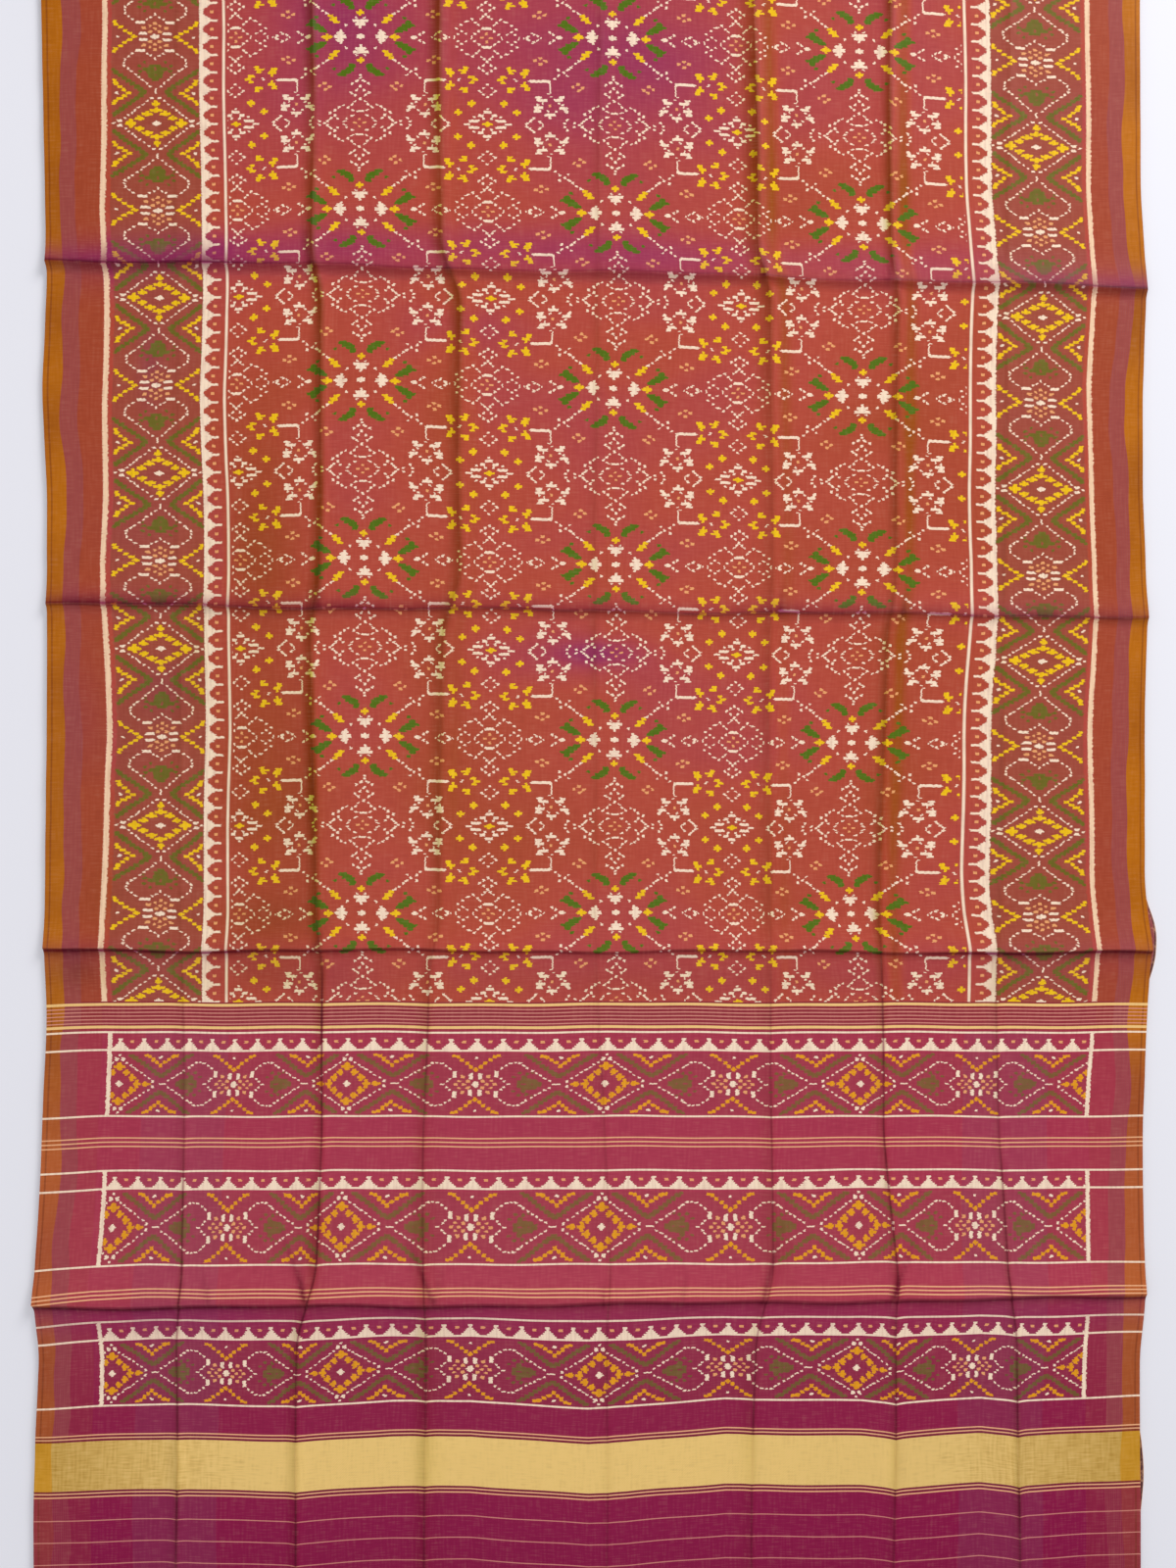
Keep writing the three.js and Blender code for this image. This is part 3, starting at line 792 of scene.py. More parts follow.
# %% Marks of the field's quarter repeat
CREAM, YELLOW, GREEN, ORANGE = 1, 2, 3, 4
FIELD_MARKS = {
    CREAM: [
        (0, 0, 9, 3.4), (0, 0, 3.6, 7), (0, 16.2, 17, 3.4), (0, 13, 11, 3.6), (0, 10, 4, 2.6),
        (4.5, 19.3, 4, 2), (21, 0, 14, 4), (21.6, 3.8, 7.4, 3.6), (20.5, 6, 4, 2.6),
        (15.3, 12, 3.4, 2.8), (35, 24.5, 4.4, 3), (39.5, 27.2, 3.6, 2.6), (43, 30.4, 3.2, 2.8),
        (46.7, 33.3, 4.2, 2.6), (51, 36, 3.4, 2.4), (57, 38.8, 3.6, 2.6), (61, 42.3, 3.6, 2.8),
        (47.7, 39.2, 3.2, 2.6), (57, 33.2, 4.4, 3), (76, 44.6, 23, 2.6), (66, 45.6, 4, 3.4),
        (65.4, 51.5, 2.4, 12), (68, 57.6, 3.6, 2), (65, 60.5, 3, 2), (66, 79, 11, 3.2),
        (66.5, 82, 4, 2.4), (52.2, 72.6, 9, 3.4), (49.6, 75.8, 5.4, 3.6), (77.5, 72, 10, 3.2),
        (78.8, 75.4, 6.6, 4), (57, 64, 9.4, 3.4), (54, 61, 6, 3), (56.4, 67.2, 3, 2.4),
        (74, 64, 10.6, 3.4), (77.4, 61, 6.4, 3), (73.6, 67, 3, 2.4), (59.5, 75.8, 3.4, 2.8),
        (69, 75.4, 2.8, 2.6), (52.6, 69.6, 3, 2.4), (78.6, 69, 3, 2.4), (100.6, 43.3, 3, 3.4),
        (0, 77.8, 9.4, 2.8), (15.6, 88, 3.4, 2.6), (13, 85.4, 3.2, 2.6), (22.5, 85.5, 3.6, 2.6),
        (7.5, 82.4, 3.8, 2.6), (7.5, 76.8, 3.4, 3), (11.8, 73.6, 3.2, 3), (17, 71.2, 3, 2.8),
        (7.6, 70.8, 3.2, 2.6), (5, 67.4, 3.2, 2.8), (0, 65, 4, 3), (5, 61.4, 3.2, 2.4),
        (9, 58.6, 3.8, 2.6), (3.6, 55.6, 3.2, 2.8), (0, 52, 4, 2.6), (8.4, 49, 3, 3),
        (3.4, 46.5, 3.8, 2.6), (0, 43.4, 3.4, 2.6), (0, 40.2, 2.6, 2.4), (36.4, 90, 3.6, 2.8),
        (33.2, 87.6, 3.8, 2.6), (30.2, 84.8, 3.4, 2.6), (25.6, 82, 3.8, 2.6), (31, 79.4, 4, 2.8),
        (25.6, 76.4, 3.6, 2.8), (22, 73.4, 3.4, 2.8), (42, 88, 3.6, 2.4), (48.4, 84.6, 3.8, 2.8),
        (51, 88, 3.4, 2.6), (73.6, 89.4, 3, 2.6), (76.4, 86.6, 3.6, 2.8), (82.6, 83, 3.8, 2.8),
        (86, 85.8, 3.6, 3), (89.6, 88.4, 3.6, 2.6), (54.8, 0, 6.4, 3), (61, 3.3, 3.2, 2.6),
        (64.6, 5.4, 3.8, 2.8), (73.4, 0, 3.2, 3), (77, 2.4, 3.4, 2.6), (81.4, 4.4, 3.4, 2.8),
        (87, 1.4, 3.6, 2.8), (91, 0, 3, 2.4), (96.4, 1, 3.2, 2.6), (100, 3.6, 3.2, 2.6),
        (104, 6.7, 3.4, 2.6), (108.4, 3.7, 3.2, 2.8), (114, 0, 3, 4.4), (117.5, 3.7, 3.4, 2.8),
        (121.5, 6.8, 3.6, 2.8), (129.5, 9.6, 10, 2.8), (98.6, 9.4, 3.2, 2.8), (104, 13.3, 3.6, 2.6),
        (109.2, 16.8, 5, 2.4), (115, 19.2, 3.8, 2.4), (118.6, 16, 3.8, 2.6), (121.6, 13.4, 3.4, 2.6),
        (123.6, 19.6, 3.4, 2.8), (126.6, 22, 3.6, 2.6), (129.5, 25, 4, 2.6), (125.6, 28.6, 3.4, 2.8),
        (121.6, 31.6, 3.4, 2.8), (125.4, 34.4, 3.6, 2.6), (129.5, 37, 3.8, 2.6), (122, 56, 3.6, 2.8),
        (125.4, 59, 3.6, 2.4), (129.5, 61.8, 3.8, 2.8), (125, 52.4, 3.4, 2.6), (129.5, 48.6, 3.4, 2.8),
        (115.8, 86.6, 11, 2.8), (116, 82.6, 3.4, 2.6), (108.6, 90, 8, 2), (123, 80.7, 6.4, 3),
        (125.4, 84, 3.6, 2.4), (129.5, 77.2, 9, 3.2), (129.5, 73.8, 3.6, 2.6),
    ],
    YELLOW: [
        (0, 24.8, 9.6, 3.2), (0, 24.8, 3.8, 7), (35, 0, 10.6, 3.2), (35, 0, 4, 7.4),
        (25.4, 15.4, 6.6, 3.6), (28.2, 18.6, 8.6, 3.6), (31.2, 21.8, 5.6, 3), (88.8, 52.6, 5.4, 3.8),
        (91.6, 49.4, 9.4, 3.4), (91.6, 46.2, 3.4, 3), (107, 56, 5.4, 2.8), (105, 53, 9, 3.8),
        (91.8, 36.6, 9.2, 3.2), (90, 33.6, 7, 3.6), (91.6, 39.8, 3.4, 3), (105.8, 36.2, 5.6, 3),
        (105, 33.8, 9.6, 2.8), (107.6, 31.4, 5, 3), (113.2, 46.8, 6.6, 2.8), (116.4, 44, 7, 3),
        (113, 41, 7, 3), (99.8, 77.2, 8.8, 3.4), (99.8, 77.2, 3.8, 7.4), (113.2, 68.4, 8.8, 3.4),
        (113.2, 68.4, 3.8, 7.2), (129.5, 90, 11, 3), (129.5, 90, 5, 5.6),
    ],
    GREEN: [
        (8.8, 30.6, 6.2, 5.4), (11.2, 34.2, 9.6, 4.8), (15, 36.8, 11, 4.4), (19, 39.2, 9.6, 4),
        (27, 33.4, 4.2, 2.6), (39.4, 6.4, 8.6, 4), (43.4, 8.8, 10.8, 4.6), (47.2, 11.8, 10, 4.8),
        (49.2, 15.4, 6.2, 4.4), (53.8, 12.4, 5, 3.2), (45.2, 20, 4.8, 3.4),
    ],
    ORANGE: [
        (36, 54.5, 3.8, 3), (31.8, 51.8, 3.4, 2.8), (42, 51.4, 3.4, 2.8), (37, 48.4, 3.6, 2.8),
        (75, 26.6, 3.6, 2.8), (69, 23.6, 4.4, 3), (80, 23, 4.2, 3.2), (75, 20.8, 3.8, 2.6),
        (66, 70, 3.6, 3), (4.6, 90, 3.8, 2.8), (0, 86.2, 3.6, 2.6), (125.2, 0, 3.8, 2.8),
        (129.5, 4.2, 3.6, 2.6),
    ],
}
print(sum(len(m) for m in FIELD_MARKS.values()), "marks in the field's quarter")

# %% [markdown]
# ## The border's chart
# The side border mirrors about its own middle line. Its quarter goes from the middle of a flower, at
# the bottom, to the middle of a stepped diamond, at the top. The pallu's bands are the same border
# turned on its side.

# %% Marks of the border's quarter repeat
BORDER_MARKS = {
    CREAM: [
        (0, 0, 9, 4), (0, 0, 4, 8), (12, 3.2, 9.6, 2.6), (15, 14.8, 10.4, 2.8), (8, 18.5, 4, 2.8),
        (4.4, 20.4, 3.8, 2.8), (0, 23.4, 4, 2.8), (23.6, 18.4, 4, 3), (27.6, 21.4, 3.2, 2.8),
        (31, 24.6, 3.4, 3), (31.5, 28, 3, 3), (31.4, 31, 3.6, 3), (27.6, 34, 3.6, 3),
        (24.4, 36.6, 4, 3.2), (20, 40, 3.4, 3), (16.4, 43, 3.6, 3), (13, 46, 4.4, 3),
        (8.6, 49.6, 3.2, 3.6), (5.4, 53, 3.4, 3), (0, 57.6, 3, 8), (4, 65.4, 5.4, 3),
        (8.6, 68.4, 3.8, 2.8), (12.5, 71.6, 3.4, 3), (17, 74.8, 3.4, 3.2), (21, 78, 3.8, 3),
        (24, 80.8, 3, 3), (28, 83.6, 4, 2.8), (31.2, 86.2, 3.2, 2.8), (36.4, 89.4, 6, 2.6),
        (42.4, 92, 4, 2.6), (39, 0, 4, 3.4), (39.4, 60, 4.6, 3.4), (0, 92, 9, 3.2), (0, 92, 3.4, 8),
    ],
    YELLOW: [
        (42, 15.6, 4, 3.4), (40.6, 13, 5.4, 3.4), (36.2, 9.8, 5.4, 3), (31.4, 6.6, 5.6, 3),
        (26, 3.4, 5.6, 3), (22, 0, 6, 3), (42, 71.6, 3.6, 3.4), (40.6, 68.4, 5.4, 3.4),
        (36, 65.6, 6.4, 3), (31.8, 62.8, 5.2, 3), (27, 59.8, 6, 3), (32, 56.6, 4.6, 3.2),
        (36, 53.4, 5, 3.2), (40.6, 49.6, 5.6, 3.6), (41.6, 46.2, 4.6, 3), (25.4, 92, 12.6, 3.6),
        (25.4, 92, 5, 9.4), (17.2, 87, 9.6, 3), (17.2, 86.4, 4.2, 6), (9.4, 82.2, 11, 3.2),
        (9.4, 81.6, 4.4, 6.4), (0, 78, 14, 3.4), (0, 78, 5, 6), (0, 71.4, 7.6, 3.2), (0, 70.6, 3.8, 6.6),
    ],
    GREEN: [
        (42, 83, 5, 4.4), (38.4, 80, 5.8, 4.4), (34.8, 77, 6, 4.4), (31, 74, 6, 4.4), (27, 71, 6, 4.4),
        (23, 68, 6, 4.4), (19, 65, 6, 4.4), (15, 62, 6, 4.4), (12, 59, 5.8, 4.6), (15, 56, 6, 4.4),
        (19, 53, 6, 4.4), (23.2, 50, 6, 4.4), (27.4, 47, 6, 4.4), (31.8, 44, 6, 4.4), (36, 41, 6, 4.4),
        (40, 38, 5.8, 4.4), (43, 35, 4, 3.6),
        (1.6, 45.4, 5, 4), (4, 41.8, 7.4, 4.2), (4, 38, 9.4, 4.4), (7, 34.6, 12.4, 3.6), (3, 31.4, 6, 3.6),
        (15.4, 36.6, 5, 2.6), (16.4, 31.2, 4, 2.8), (10.6, 27, 3, 2.8), (17, 40.6, 2.6, 2.2),
    ],
    ORANGE: [
        (11.6, 9.4, 4.4, 3.2), (5, 5.4, 4.2, 3), (0, 8.6, 4.6, 3), (0, 14, 4.2, 3), (5.2, 11.4, 3.6, 2.8),
    ],
}
print(sum(len(m) for m in BORDER_MARKS.values()), "marks in the border's quarter")

# %% [markdown]
# ## From marks to cells
# Every mark fills the cells whose middles fall inside it, and a later mark covers an earlier one. The
# rounded block (the fourth powers) loses only its very corners, as a tied bundle of threads does. The
# small dots of a chain lean along the chain, because each pick of the weave shifts a little.

# %% Filling the charts
CHART_ROWS = 96
FIELD_SIZE = (129.5, 90.0)
FIELD_COLUMNS = 96
BORDER_SIZE = (45.0, 92.0)
BORDER_COLUMNS = 48
SMALL_MARK = 5.5
FIELD_SHRINK = np.array([0.76, 0.88])
BORDER_SHRINK = np.array([0.66, 0.76])
LARGE_SHRINK = 0.97
CHAIN_SLANT = 0.5


def chain_slants(blocks, size):
    """Slant of each small block, in mm sideways for a mm along: towards its nearest neighbour. A block on
    the chart's rim, or level with its neighbour, stays upright."""
    away = blocks[None, :, :2] - blocks[:, None, :2]
    gap = np.hypot(away[..., 0], away[..., 1]) + 1000 * np.eye(len(blocks))
    nearest = away[np.arange(len(blocks)), gap.argmin(1)]
    inner = ((blocks[:, :2] > 1) & (blocks[:, :2] < np.array(size) - 1)).all(1)
    slanting = inner & (np.abs(nearest).min(1) > 1.2) & (blocks[:, 2] < SMALL_MARK)
    return CHAIN_SLANT * np.sign(nearest[:, 0] * nearest[:, 1]) * slanting


def fill_chart(marks, size, columns, small_shrink):
    """Each cell takes the colour of the last mark for which (dx / half width) ^ 4 + (dy / half height) ^ 4
    is below 1 at the cell's middle, dx from the mark's slanting middle line. Row 0 is at y = 0."""
    x = (np.arange(columns) + 0.5) * size[0] / columns
    y = (np.arange(CHART_ROWS) + 0.5)[:, None] * size[1] / CHART_ROWS
    chart = np.zeros((CHART_ROWS, columns), int)
    for colour, rows in marks.items():
        blocks = np.array(rows, float)
        chained = (blocks[:, 2:3] < SMALL_MARK) & (colour == CREAM)
        slants = chain_slants(blocks, size) * chained[:, 0]
        blocks[:, 2:] *= np.where(chained, small_shrink, LARGE_SHRINK)
        for (cx, cy, w, h), slant in zip(blocks, slants):
            inside = ((x - cx - slant * (y - cy)) * 2 / w) ** 4 + ((y - cy) * 2 / h) ** 4 < 1
            chart[inside] = colour
    return chart


field_chart = fill_chart(FIELD_MARKS, FIELD_SIZE, FIELD_COLUMNS, FIELD_SHRINK)
border_chart = fill_chart(BORDER_MARKS, BORDER_SIZE, BORDER_COLUMNS, BORDER_SHRINK)
both_charts = np.concatenate([field_chart, border_chart], 1)
print("both charts:", both_charts.shape, "cells,",
      round(float((both_charts > 0).mean()) * 100), "% of them dyed")

# %% [markdown]
# ## Writing shader maths in Python
# A shader is a web of nodes, and a long sum of them is hard to read. One small class wraps a socket
# and gives it Python's operators, so 1 - mask adds a Math node by itself. Everything else comes from
# one method that takes the node's type, its settings and its inputs.

# %% Wires and the dye pot
class Wire:
    """One output socket of a shader. Arithmetic on it adds Math nodes."""

    def __init__(self, pot, socket):
        self.pot = pot
        self.socket = socket

    def maths(self, operation, *others):
        return self.pot.maths(operation, self, *others)

    def __add__(self, other):
        return self.maths("ADD", other)

    def __sub__(self, other):
        return self.maths("SUBTRACT", other)

    def __rsub__(self, other):
        return self.pot.maths("SUBTRACT", other, self)

    def __mul__(self, other):
        return self.maths("MULTIPLY", other)

    def __truediv__(self, other):
        return self.maths("DIVIDE", other)

    def __rpow__(self, other):
        return self.pot.maths("POWER", other, self)

    def __lt__(self, other):
        return self.maths("LESS_THAN", other)

    def __gt__(self, other):
        return self.maths("GREATER_THAN", other)

    def __abs__(self):
        return self.maths("ABSOLUTE")

    __radd__ = __add__
    __rmul__ = __mul__

    def floor(self):
        return self.maths("FLOOR")

    def fold(self, length):
        """Runs up to length and back again, for ever, as a mirrored repeat does."""
        return self.maths("PINGPONG", length)

    def near(self, value, reach):
        """1 within reach of value, else 0."""
        return self.maths("COMPARE", value, reach)

    def between(self, low, high):
        return self.near((low + high) / 2, (high - low) / 2)

    def least(self, other):
        return self.maths("MINIMUM", other)

    def most(self, other):
        return self.maths("MAXIMUM", other)


class DyePot:
    """A new material and the nodes in it."""

    def __init__(self, name):
        self.material = bpy.data.materials.new(name)
        self.material.use_nodes = True
        self.tree = self.material.node_tree
        self.shader = self.tree.nodes["Principled BSDF"]

    def node(self, kind, settings=None, inputs=None, output=0):
        """Adds a node, sets its settings, then links or sets each input by name or number."""
        made = self.tree.nodes.new(kind)
        for name, value in (settings or {}).items():
            if name == "stops":
                self.set_stops(made.color_ramp, value)
            elif name == "ramp_mode":
                made.color_ramp.interpolation = value
            else:
                setattr(made, name, value)
        for name, value in (inputs or {}).items():
            if isinstance(value, Wire):
                self.tree.links.new(value.socket, made.inputs[name])
            else:
                made.inputs[name].default_value = value
        return Wire(self, made.outputs[output])

    @staticmethod
    def set_stops(ramp, stops):
        """Uses the ramp's own two stops for the first and the last, and adds the ones between."""
        ramp.elements[0].position, ramp.elements[0].color = stops[0]
        ramp.elements[1].position, ramp.elements[1].color = stops[-1]
        for place, colour in stops[1:-1]:
            ramp.elements.new(place).color = colour

    def maths(self, operation, *values):
        return self.node("ShaderNodeMath", {"operation": operation}, dict(enumerate(values)))

    def mix(self, amount, first, second, blend="MIX"):
        """A colour between two others, or the first stained by the second where blend is MULTIPLY."""
        return self.node("ShaderNodeMix",
                         {"data_type": "RGBA", "blend_type": blend}, {0: amount, 6: first, 7: second}, 2)

    def feed(self, name, value):
        """Links a wire to the shader's socket, or sets the socket where the value is plain."""
        if isinstance(value, Wire):
            self.tree.links.new(value.socket, self.shader.inputs[name])
        else:
            self.shader.inputs[name].default_value = value


def dye(code):
    """A colour written as six hex digits, as linear light."""
    channel = np.array([int(code[i:i + 2], 16) for i in (0, 2, 4)]) / 255
    linear = np.where(channel <= 0.04045, channel / 12.92, ((channel + 0.055) / 1.055) ** 2.4)
    return (*[float(c) for c in linear], 1.0)


print("coral in linear light:", [round(c, 3) for c in dye("b44e44")])

# %% [markdown]
# ## Reading the chart in the shader
# A shader can't look into a list, but a Color Ramp that jumps from stop to stop is a list of up to 32
# colours. Here each stop is a row of the chart, and each of its three channels holds eight cells of
# that row as the digits of one number in base five, where 0 is undyed and 1 to 4 are the dyes. It is
# kept as a share of the largest such number, so it stays between 0 and 1. Three ramps hold 96 rows.

# %% Chart rows as numbers in ramps
RAMP_ROWS = 32
DIGITS = 8
RAMP_COLUMNS = 3 * DIGITS


def ramp_stops(cells):
    """One stop a row: its 24 cells as three base-five numbers, plus a half to stay clear of rounding."""
    weights = 5.0 ** np.arange(DIGITS - 1, -1, -1)
    numbers = (cells.reshape(len(cells), 3, DIGITS) @ weights + 0.5) / 5.0 ** DIGITS
    return [(i / len(cells), (*[float(n) for n in row], 1.0)) for i, row in enumerate(numbers)]


def chart_number(pot, chart, row, column):
    """The number that holds the cell: by its group of rows, its block of columns and its channel."""
    group = (row / float(RAMP_ROWS)).floor()
    factor = (row + 0.5) / float(RAMP_ROWS) - group
    starts = range(0, len(chart), RAMP_ROWS)
    reached = [group > r / RAMP_ROWS - 0.5 for r in starts]
    number = None
    for c in range(0, chart.shape[1], RAMP_COLUMNS):
        block = None
        for r, in_reach in zip(starts, reached):
            stops = ramp_stops(chart[r:r + RAMP_ROWS, c:c + RAMP_COLUMNS])
            ramp = pot.node("ShaderNodeValToRGB", {"ramp_mode": "CONSTANT", "stops": stops}, {0: factor})
            block = ramp if block is None else pot.mix(in_reach, block, ramp)
        number = block if number is None else pot.mix(column > c - 0.5, number, block)
    red, green, blue = channels(pot, number)
    channel = (column / float(DIGITS)).floor().maths("MODULO", 3.0)
    return red * channel.near(0.0, 0.5) + green * channel.near(1.0, 0.5) + blue * channel.near(2.0, 0.5)


def channels(pot, colour):
    node = pot.node("ShaderNodeSeparateColor", {}, {0: colour}).socket.node
    return [Wire(pot, node.outputs[i]) for i in range(3)]


print("first numbers of the field's first row:",
      [round(c, 4) for c in ramp_stops(field_chart[:RAMP_ROWS, :RAMP_COLUMNS])[0][1]])

# %% [markdown]
# ## The silk of the stretches that show
# One material serves the whole length. It reads the place in the cloth, feathers it a little so that
# edges bleed along the weft as tied dye does, and then asks in turn which part of the cloth this is:
# selvedge, side stripes, border, teeth, field, or one of the pallu's lines and bands.

# %% Places across and along, in millimetres
FIELD_HALF_PITCH = 127.5
ROW_HALF_PITCH = 89.75
STAR_COLUMN = 322.0
STAR_ROW = -90.0
BORDER_AXIS = 112.5
BORDER_HALF = 45.0
# Distances from the nearer selvedge, from the frame's middle, and along the pallu from where it starts.
CLOTH_HALF = 560.0
SELVEDGE_END = 18.0
MAUVE_END = 35.0
STRIPES_END = 57.0
FIELD_EDGE = 186.0
FRAME_HALF = 495.5
GOLD_START = 446.0
GOLD_END = 496.5
PALLU_END = 708.0
silk = DyePot("patola_silk")
cloth_uv = silk.node("ShaderNodeUVMap", {"uv_map": "cloth"})
place = silk.node("ShaderNodeVectorMath", {"operation": "SCALE"}, {0: cloth_uv, "Scale": 1000.0})
parts = silk.node("ShaderNodeSeparateXYZ", {}, {0: place}).socket.node
u = Wire(silk, parts.outputs[0])
v = Wire(silk, parts.outputs[1])


def stretched_noise(scale_u, scale_v, detail=0.0, shift=0.0):
    """Noise from -0.5 to 0.5 whose grain is so many cells to the millimetre across and along."""
    where = silk.node("ShaderNodeMapping", {},
                      {0: place, "Location": (shift, shift, 0), "Scale": (scale_u, scale_v, 1)})
    return silk.node("ShaderNodeTexNoise", {"noise_dimensions": "2D"},
                     {"Vector": where, "Scale": 1.0, "Detail": detail}) - 0.5


weft_bleed = stretched_noise(0.07, 0.85)
warp_bleed = stretched_noise(0.45, 0.05, shift=80.0)
u_dyed = u + weft_bleed * 2.2
v_dyed = v + warp_bleed * 1.0
from_edge = CLOTH_HALF - abs(u - CLOTH_HALF)
from_edge_dyed = from_edge + weft_bleed * 2.8
print("nodes so far:", len(silk.tree.nodes))

# %% [markdown]
# ### Which repeat a point falls in
# In the field and the side borders the repeat runs along the warp. In the pallu's bands the border
# chart lies on its side, so there the share along the repeat comes from u and the share across it
# from v. Both kinds of place are worked out first and the chart is read only once.

# %% Shares of the repeats
# The first band's middle and half height, and the steps to the second and the third band.
BAND_MIDDLE, BAND_HALF = 84.0, 31.0
BAND_STEPS = [(155.0, 146.0, 5.0), (305.0, 146.8, -5.0)]
BAND_REPEAT = 131.2
PALLU_AXIS, FRAME_MIDDLE = 570.0, 563.0
in_field = v < 0.0
band_middle, band_half = BAND_MIDDLE, BAND_HALF
for start, shift, growth in BAND_STEPS:
    passed = v > start
    band_middle = passed * shift + band_middle
    band_half = passed * growth + band_half
above_band = band_middle - band_half - v
below_band = v - band_middle - band_half
in_band_rows = above_band.most(below_band) < 0.0
from_middle = abs(u_dyed - PALLU_AXIS)
band_place = from_middle + (from_middle - 2.0 * BAND_REPEAT).most(0.0) * 0.13
from_frame = abs(u_dyed - FRAME_MIDDLE)
in_frame = from_frame < FRAME_HALF
in_band = in_band_rows * in_frame
band_across = abs(v_dyed - band_middle) / band_half
band_along = 1.0 - band_place.fold(BAND_REPEAT) / BAND_REPEAT
side_along = (v_dyed - STAR_ROW).fold(ROW_HALF_PITCH) / ROW_HALF_PITCH
side_across = abs(from_edge_dyed - BORDER_AXIS) / BORDER_HALF
share_along = side_along + (band_along - side_along) * in_band
share_border = (side_across + (band_across - side_across) * in_band).least(0.999)
share_field = (u_dyed - STAR_COLUMN).fold(FIELD_HALF_PITCH) / FIELD_HALF_PITCH
border_field = (side_across < 1.0) * in_field
chart_border = border_field.most(in_band)
chart_field = (from_edge > FIELD_EDGE) * in_field
row = (share_along * float(CHART_ROWS)).floor().least(CHART_ROWS - 1.0)
field_column = (share_field * float(FIELD_COLUMNS)).floor().least(FIELD_COLUMNS - 1.0)
border_column = (share_border * float(BORDER_COLUMNS)).floor()
column = field_column + (border_column + float(FIELD_COLUMNS) - field_column) * chart_border
number = chart_number(silk, both_charts, row, column)
digit_place = column.maths("MODULO", float(DIGITS)) + 1.0
cell = (number * 5.0 ** digit_place).floor().maths("MODULO", 5.0) * chart_field.most(chart_border)
cream, yellow, green, orange = [cell.near(float(code), 0.5) for code in (CREAM, YELLOW, GREEN, ORANGE)]
print("nodes so far:", len(silk.tree.nodes))

# %% [markdown]
# ### Teeth and woven lines
# A row of teeth divides border and field: a solid base, a short body over each tooth and a thin spike.
# Five teeth go to every half repeat. The lines of the pallu are picks of gold, peach, pink or cream.
# Each is a mask, 1 where its thread lies.

# %% Teeth and lines
SIDE_TOOTH_HALF_PITCH = ROW_HALF_PITCH / 10
PALLU_TOOTH_HALF_PITCH = BAND_REPEAT / 10
# Columns: where a step starts, as distance across the row of teeth, and half its width in mm.
SIDE_TOOTH_STEPS = [(157.4, 9.2), (161.4, 6.2), (163.4, 4.8), (165.6, 2.8), (168.0, 1.2), (176.0, 0)]
PALLU_TOOTH_STEPS = [(4.4, 9.0), (6.2, 6.8), (8.0, 4.8), (9.8, 3.0), (11.6, 1.5), (13.4, 2.4), (15.4, 0)]
TOOTH_REACH = 20.0


def teeth(distance, along, steps):
    """1 where the place along the row is nearer to a tooth's middle than the half width of the step it is
    on. A ramp that jumps holds the half widths, as shares of the reach."""
    base = steps[0][0] - 1.0
    stops = [(0.0, (0.0, 0.0, 0.0, 1.0))]
    stops += [((start - base) / TOOTH_REACH, (half / TOOTH_REACH,) * 3 + (1.0,)) for start, half in steps]
    ramp = silk.node("ShaderNodeValToRGB",
                     {"ramp_mode": "CONSTANT", "stops": stops}, {0: (distance - base) / TOOTH_REACH})
    return along / TOOTH_REACH < ramp


def picks(first, pitch, count, half):
    """Thin even lines along the weft, from the first one's v, their spacing, number and half width."""
    inside = v.between(first - half, first + (count - 1) * pitch + half)
    return ((v - first).fold(pitch / 2) < half) * inside


side_place = v_dyed - STAR_ROW
side_teeth = teeth(from_edge_dyed, side_place.fold(SIDE_TOOTH_HALF_PITCH), SIDE_TOOTH_STEPS)
side_drops = (from_edge.between(168.4, 172.0)
              * ((side_place + SIDE_TOOTH_HALF_PITCH).fold(SIDE_TOOTH_HALF_PITCH) < 1.4))
pallu_teeth = teeth(above_band, band_place.fold(PALLU_TOOTH_HALF_PITCH), PALLU_TOOTH_STEPS) * in_frame
pallu_drops = (above_band.between(11.0, 13.6)
               * ((band_place + PALLU_TOOTH_HALF_PITCH).fold(PALLU_TOOTH_HALF_PITCH) < 2.1) * in_frame)
side_line = from_edge_dyed.between(57.6, 63.0)
zigzag = abs(from_edge - v.fold(0.95) * 1.3).near(181.8, 1.35)
field_cream = side_teeth.most(side_line).most(zigzag) * in_field
cross_lines = above_band.near(21.7, 0.95) + above_band.near(3.4, 1.0) + below_band.near(2.0, 0.95)
frame_line = from_frame.near(497.8, 2.1) * (above_band < 22.0) * (below_band < 2.4)
pallu_cream = cross_lines.most(frame_line).most(pallu_teeth)
gold_edges = v.near(3.0, 1.4) + v.near(26.0, 1.4)
peach_lines = (picks(139.2, 4.3, 3, 0.66) + picks(292.0, 3.75, 3, 0.66)
               + picks(439.6, 3.5, 2, 0.66) + picks(499.2, 3.7, 2, 0.66))
pink_lines = picks(7.4, 3.7, 5, 0.52) + picks(527.0, 22.3, 9, 0.52) * 0.8
gold_band = v.between(GOLD_START, GOLD_END)
past_gold = v > 497.0
beside_gold = v.near(471.2, 30.6)
print("nodes so far:", len(silk.tree.nodes))
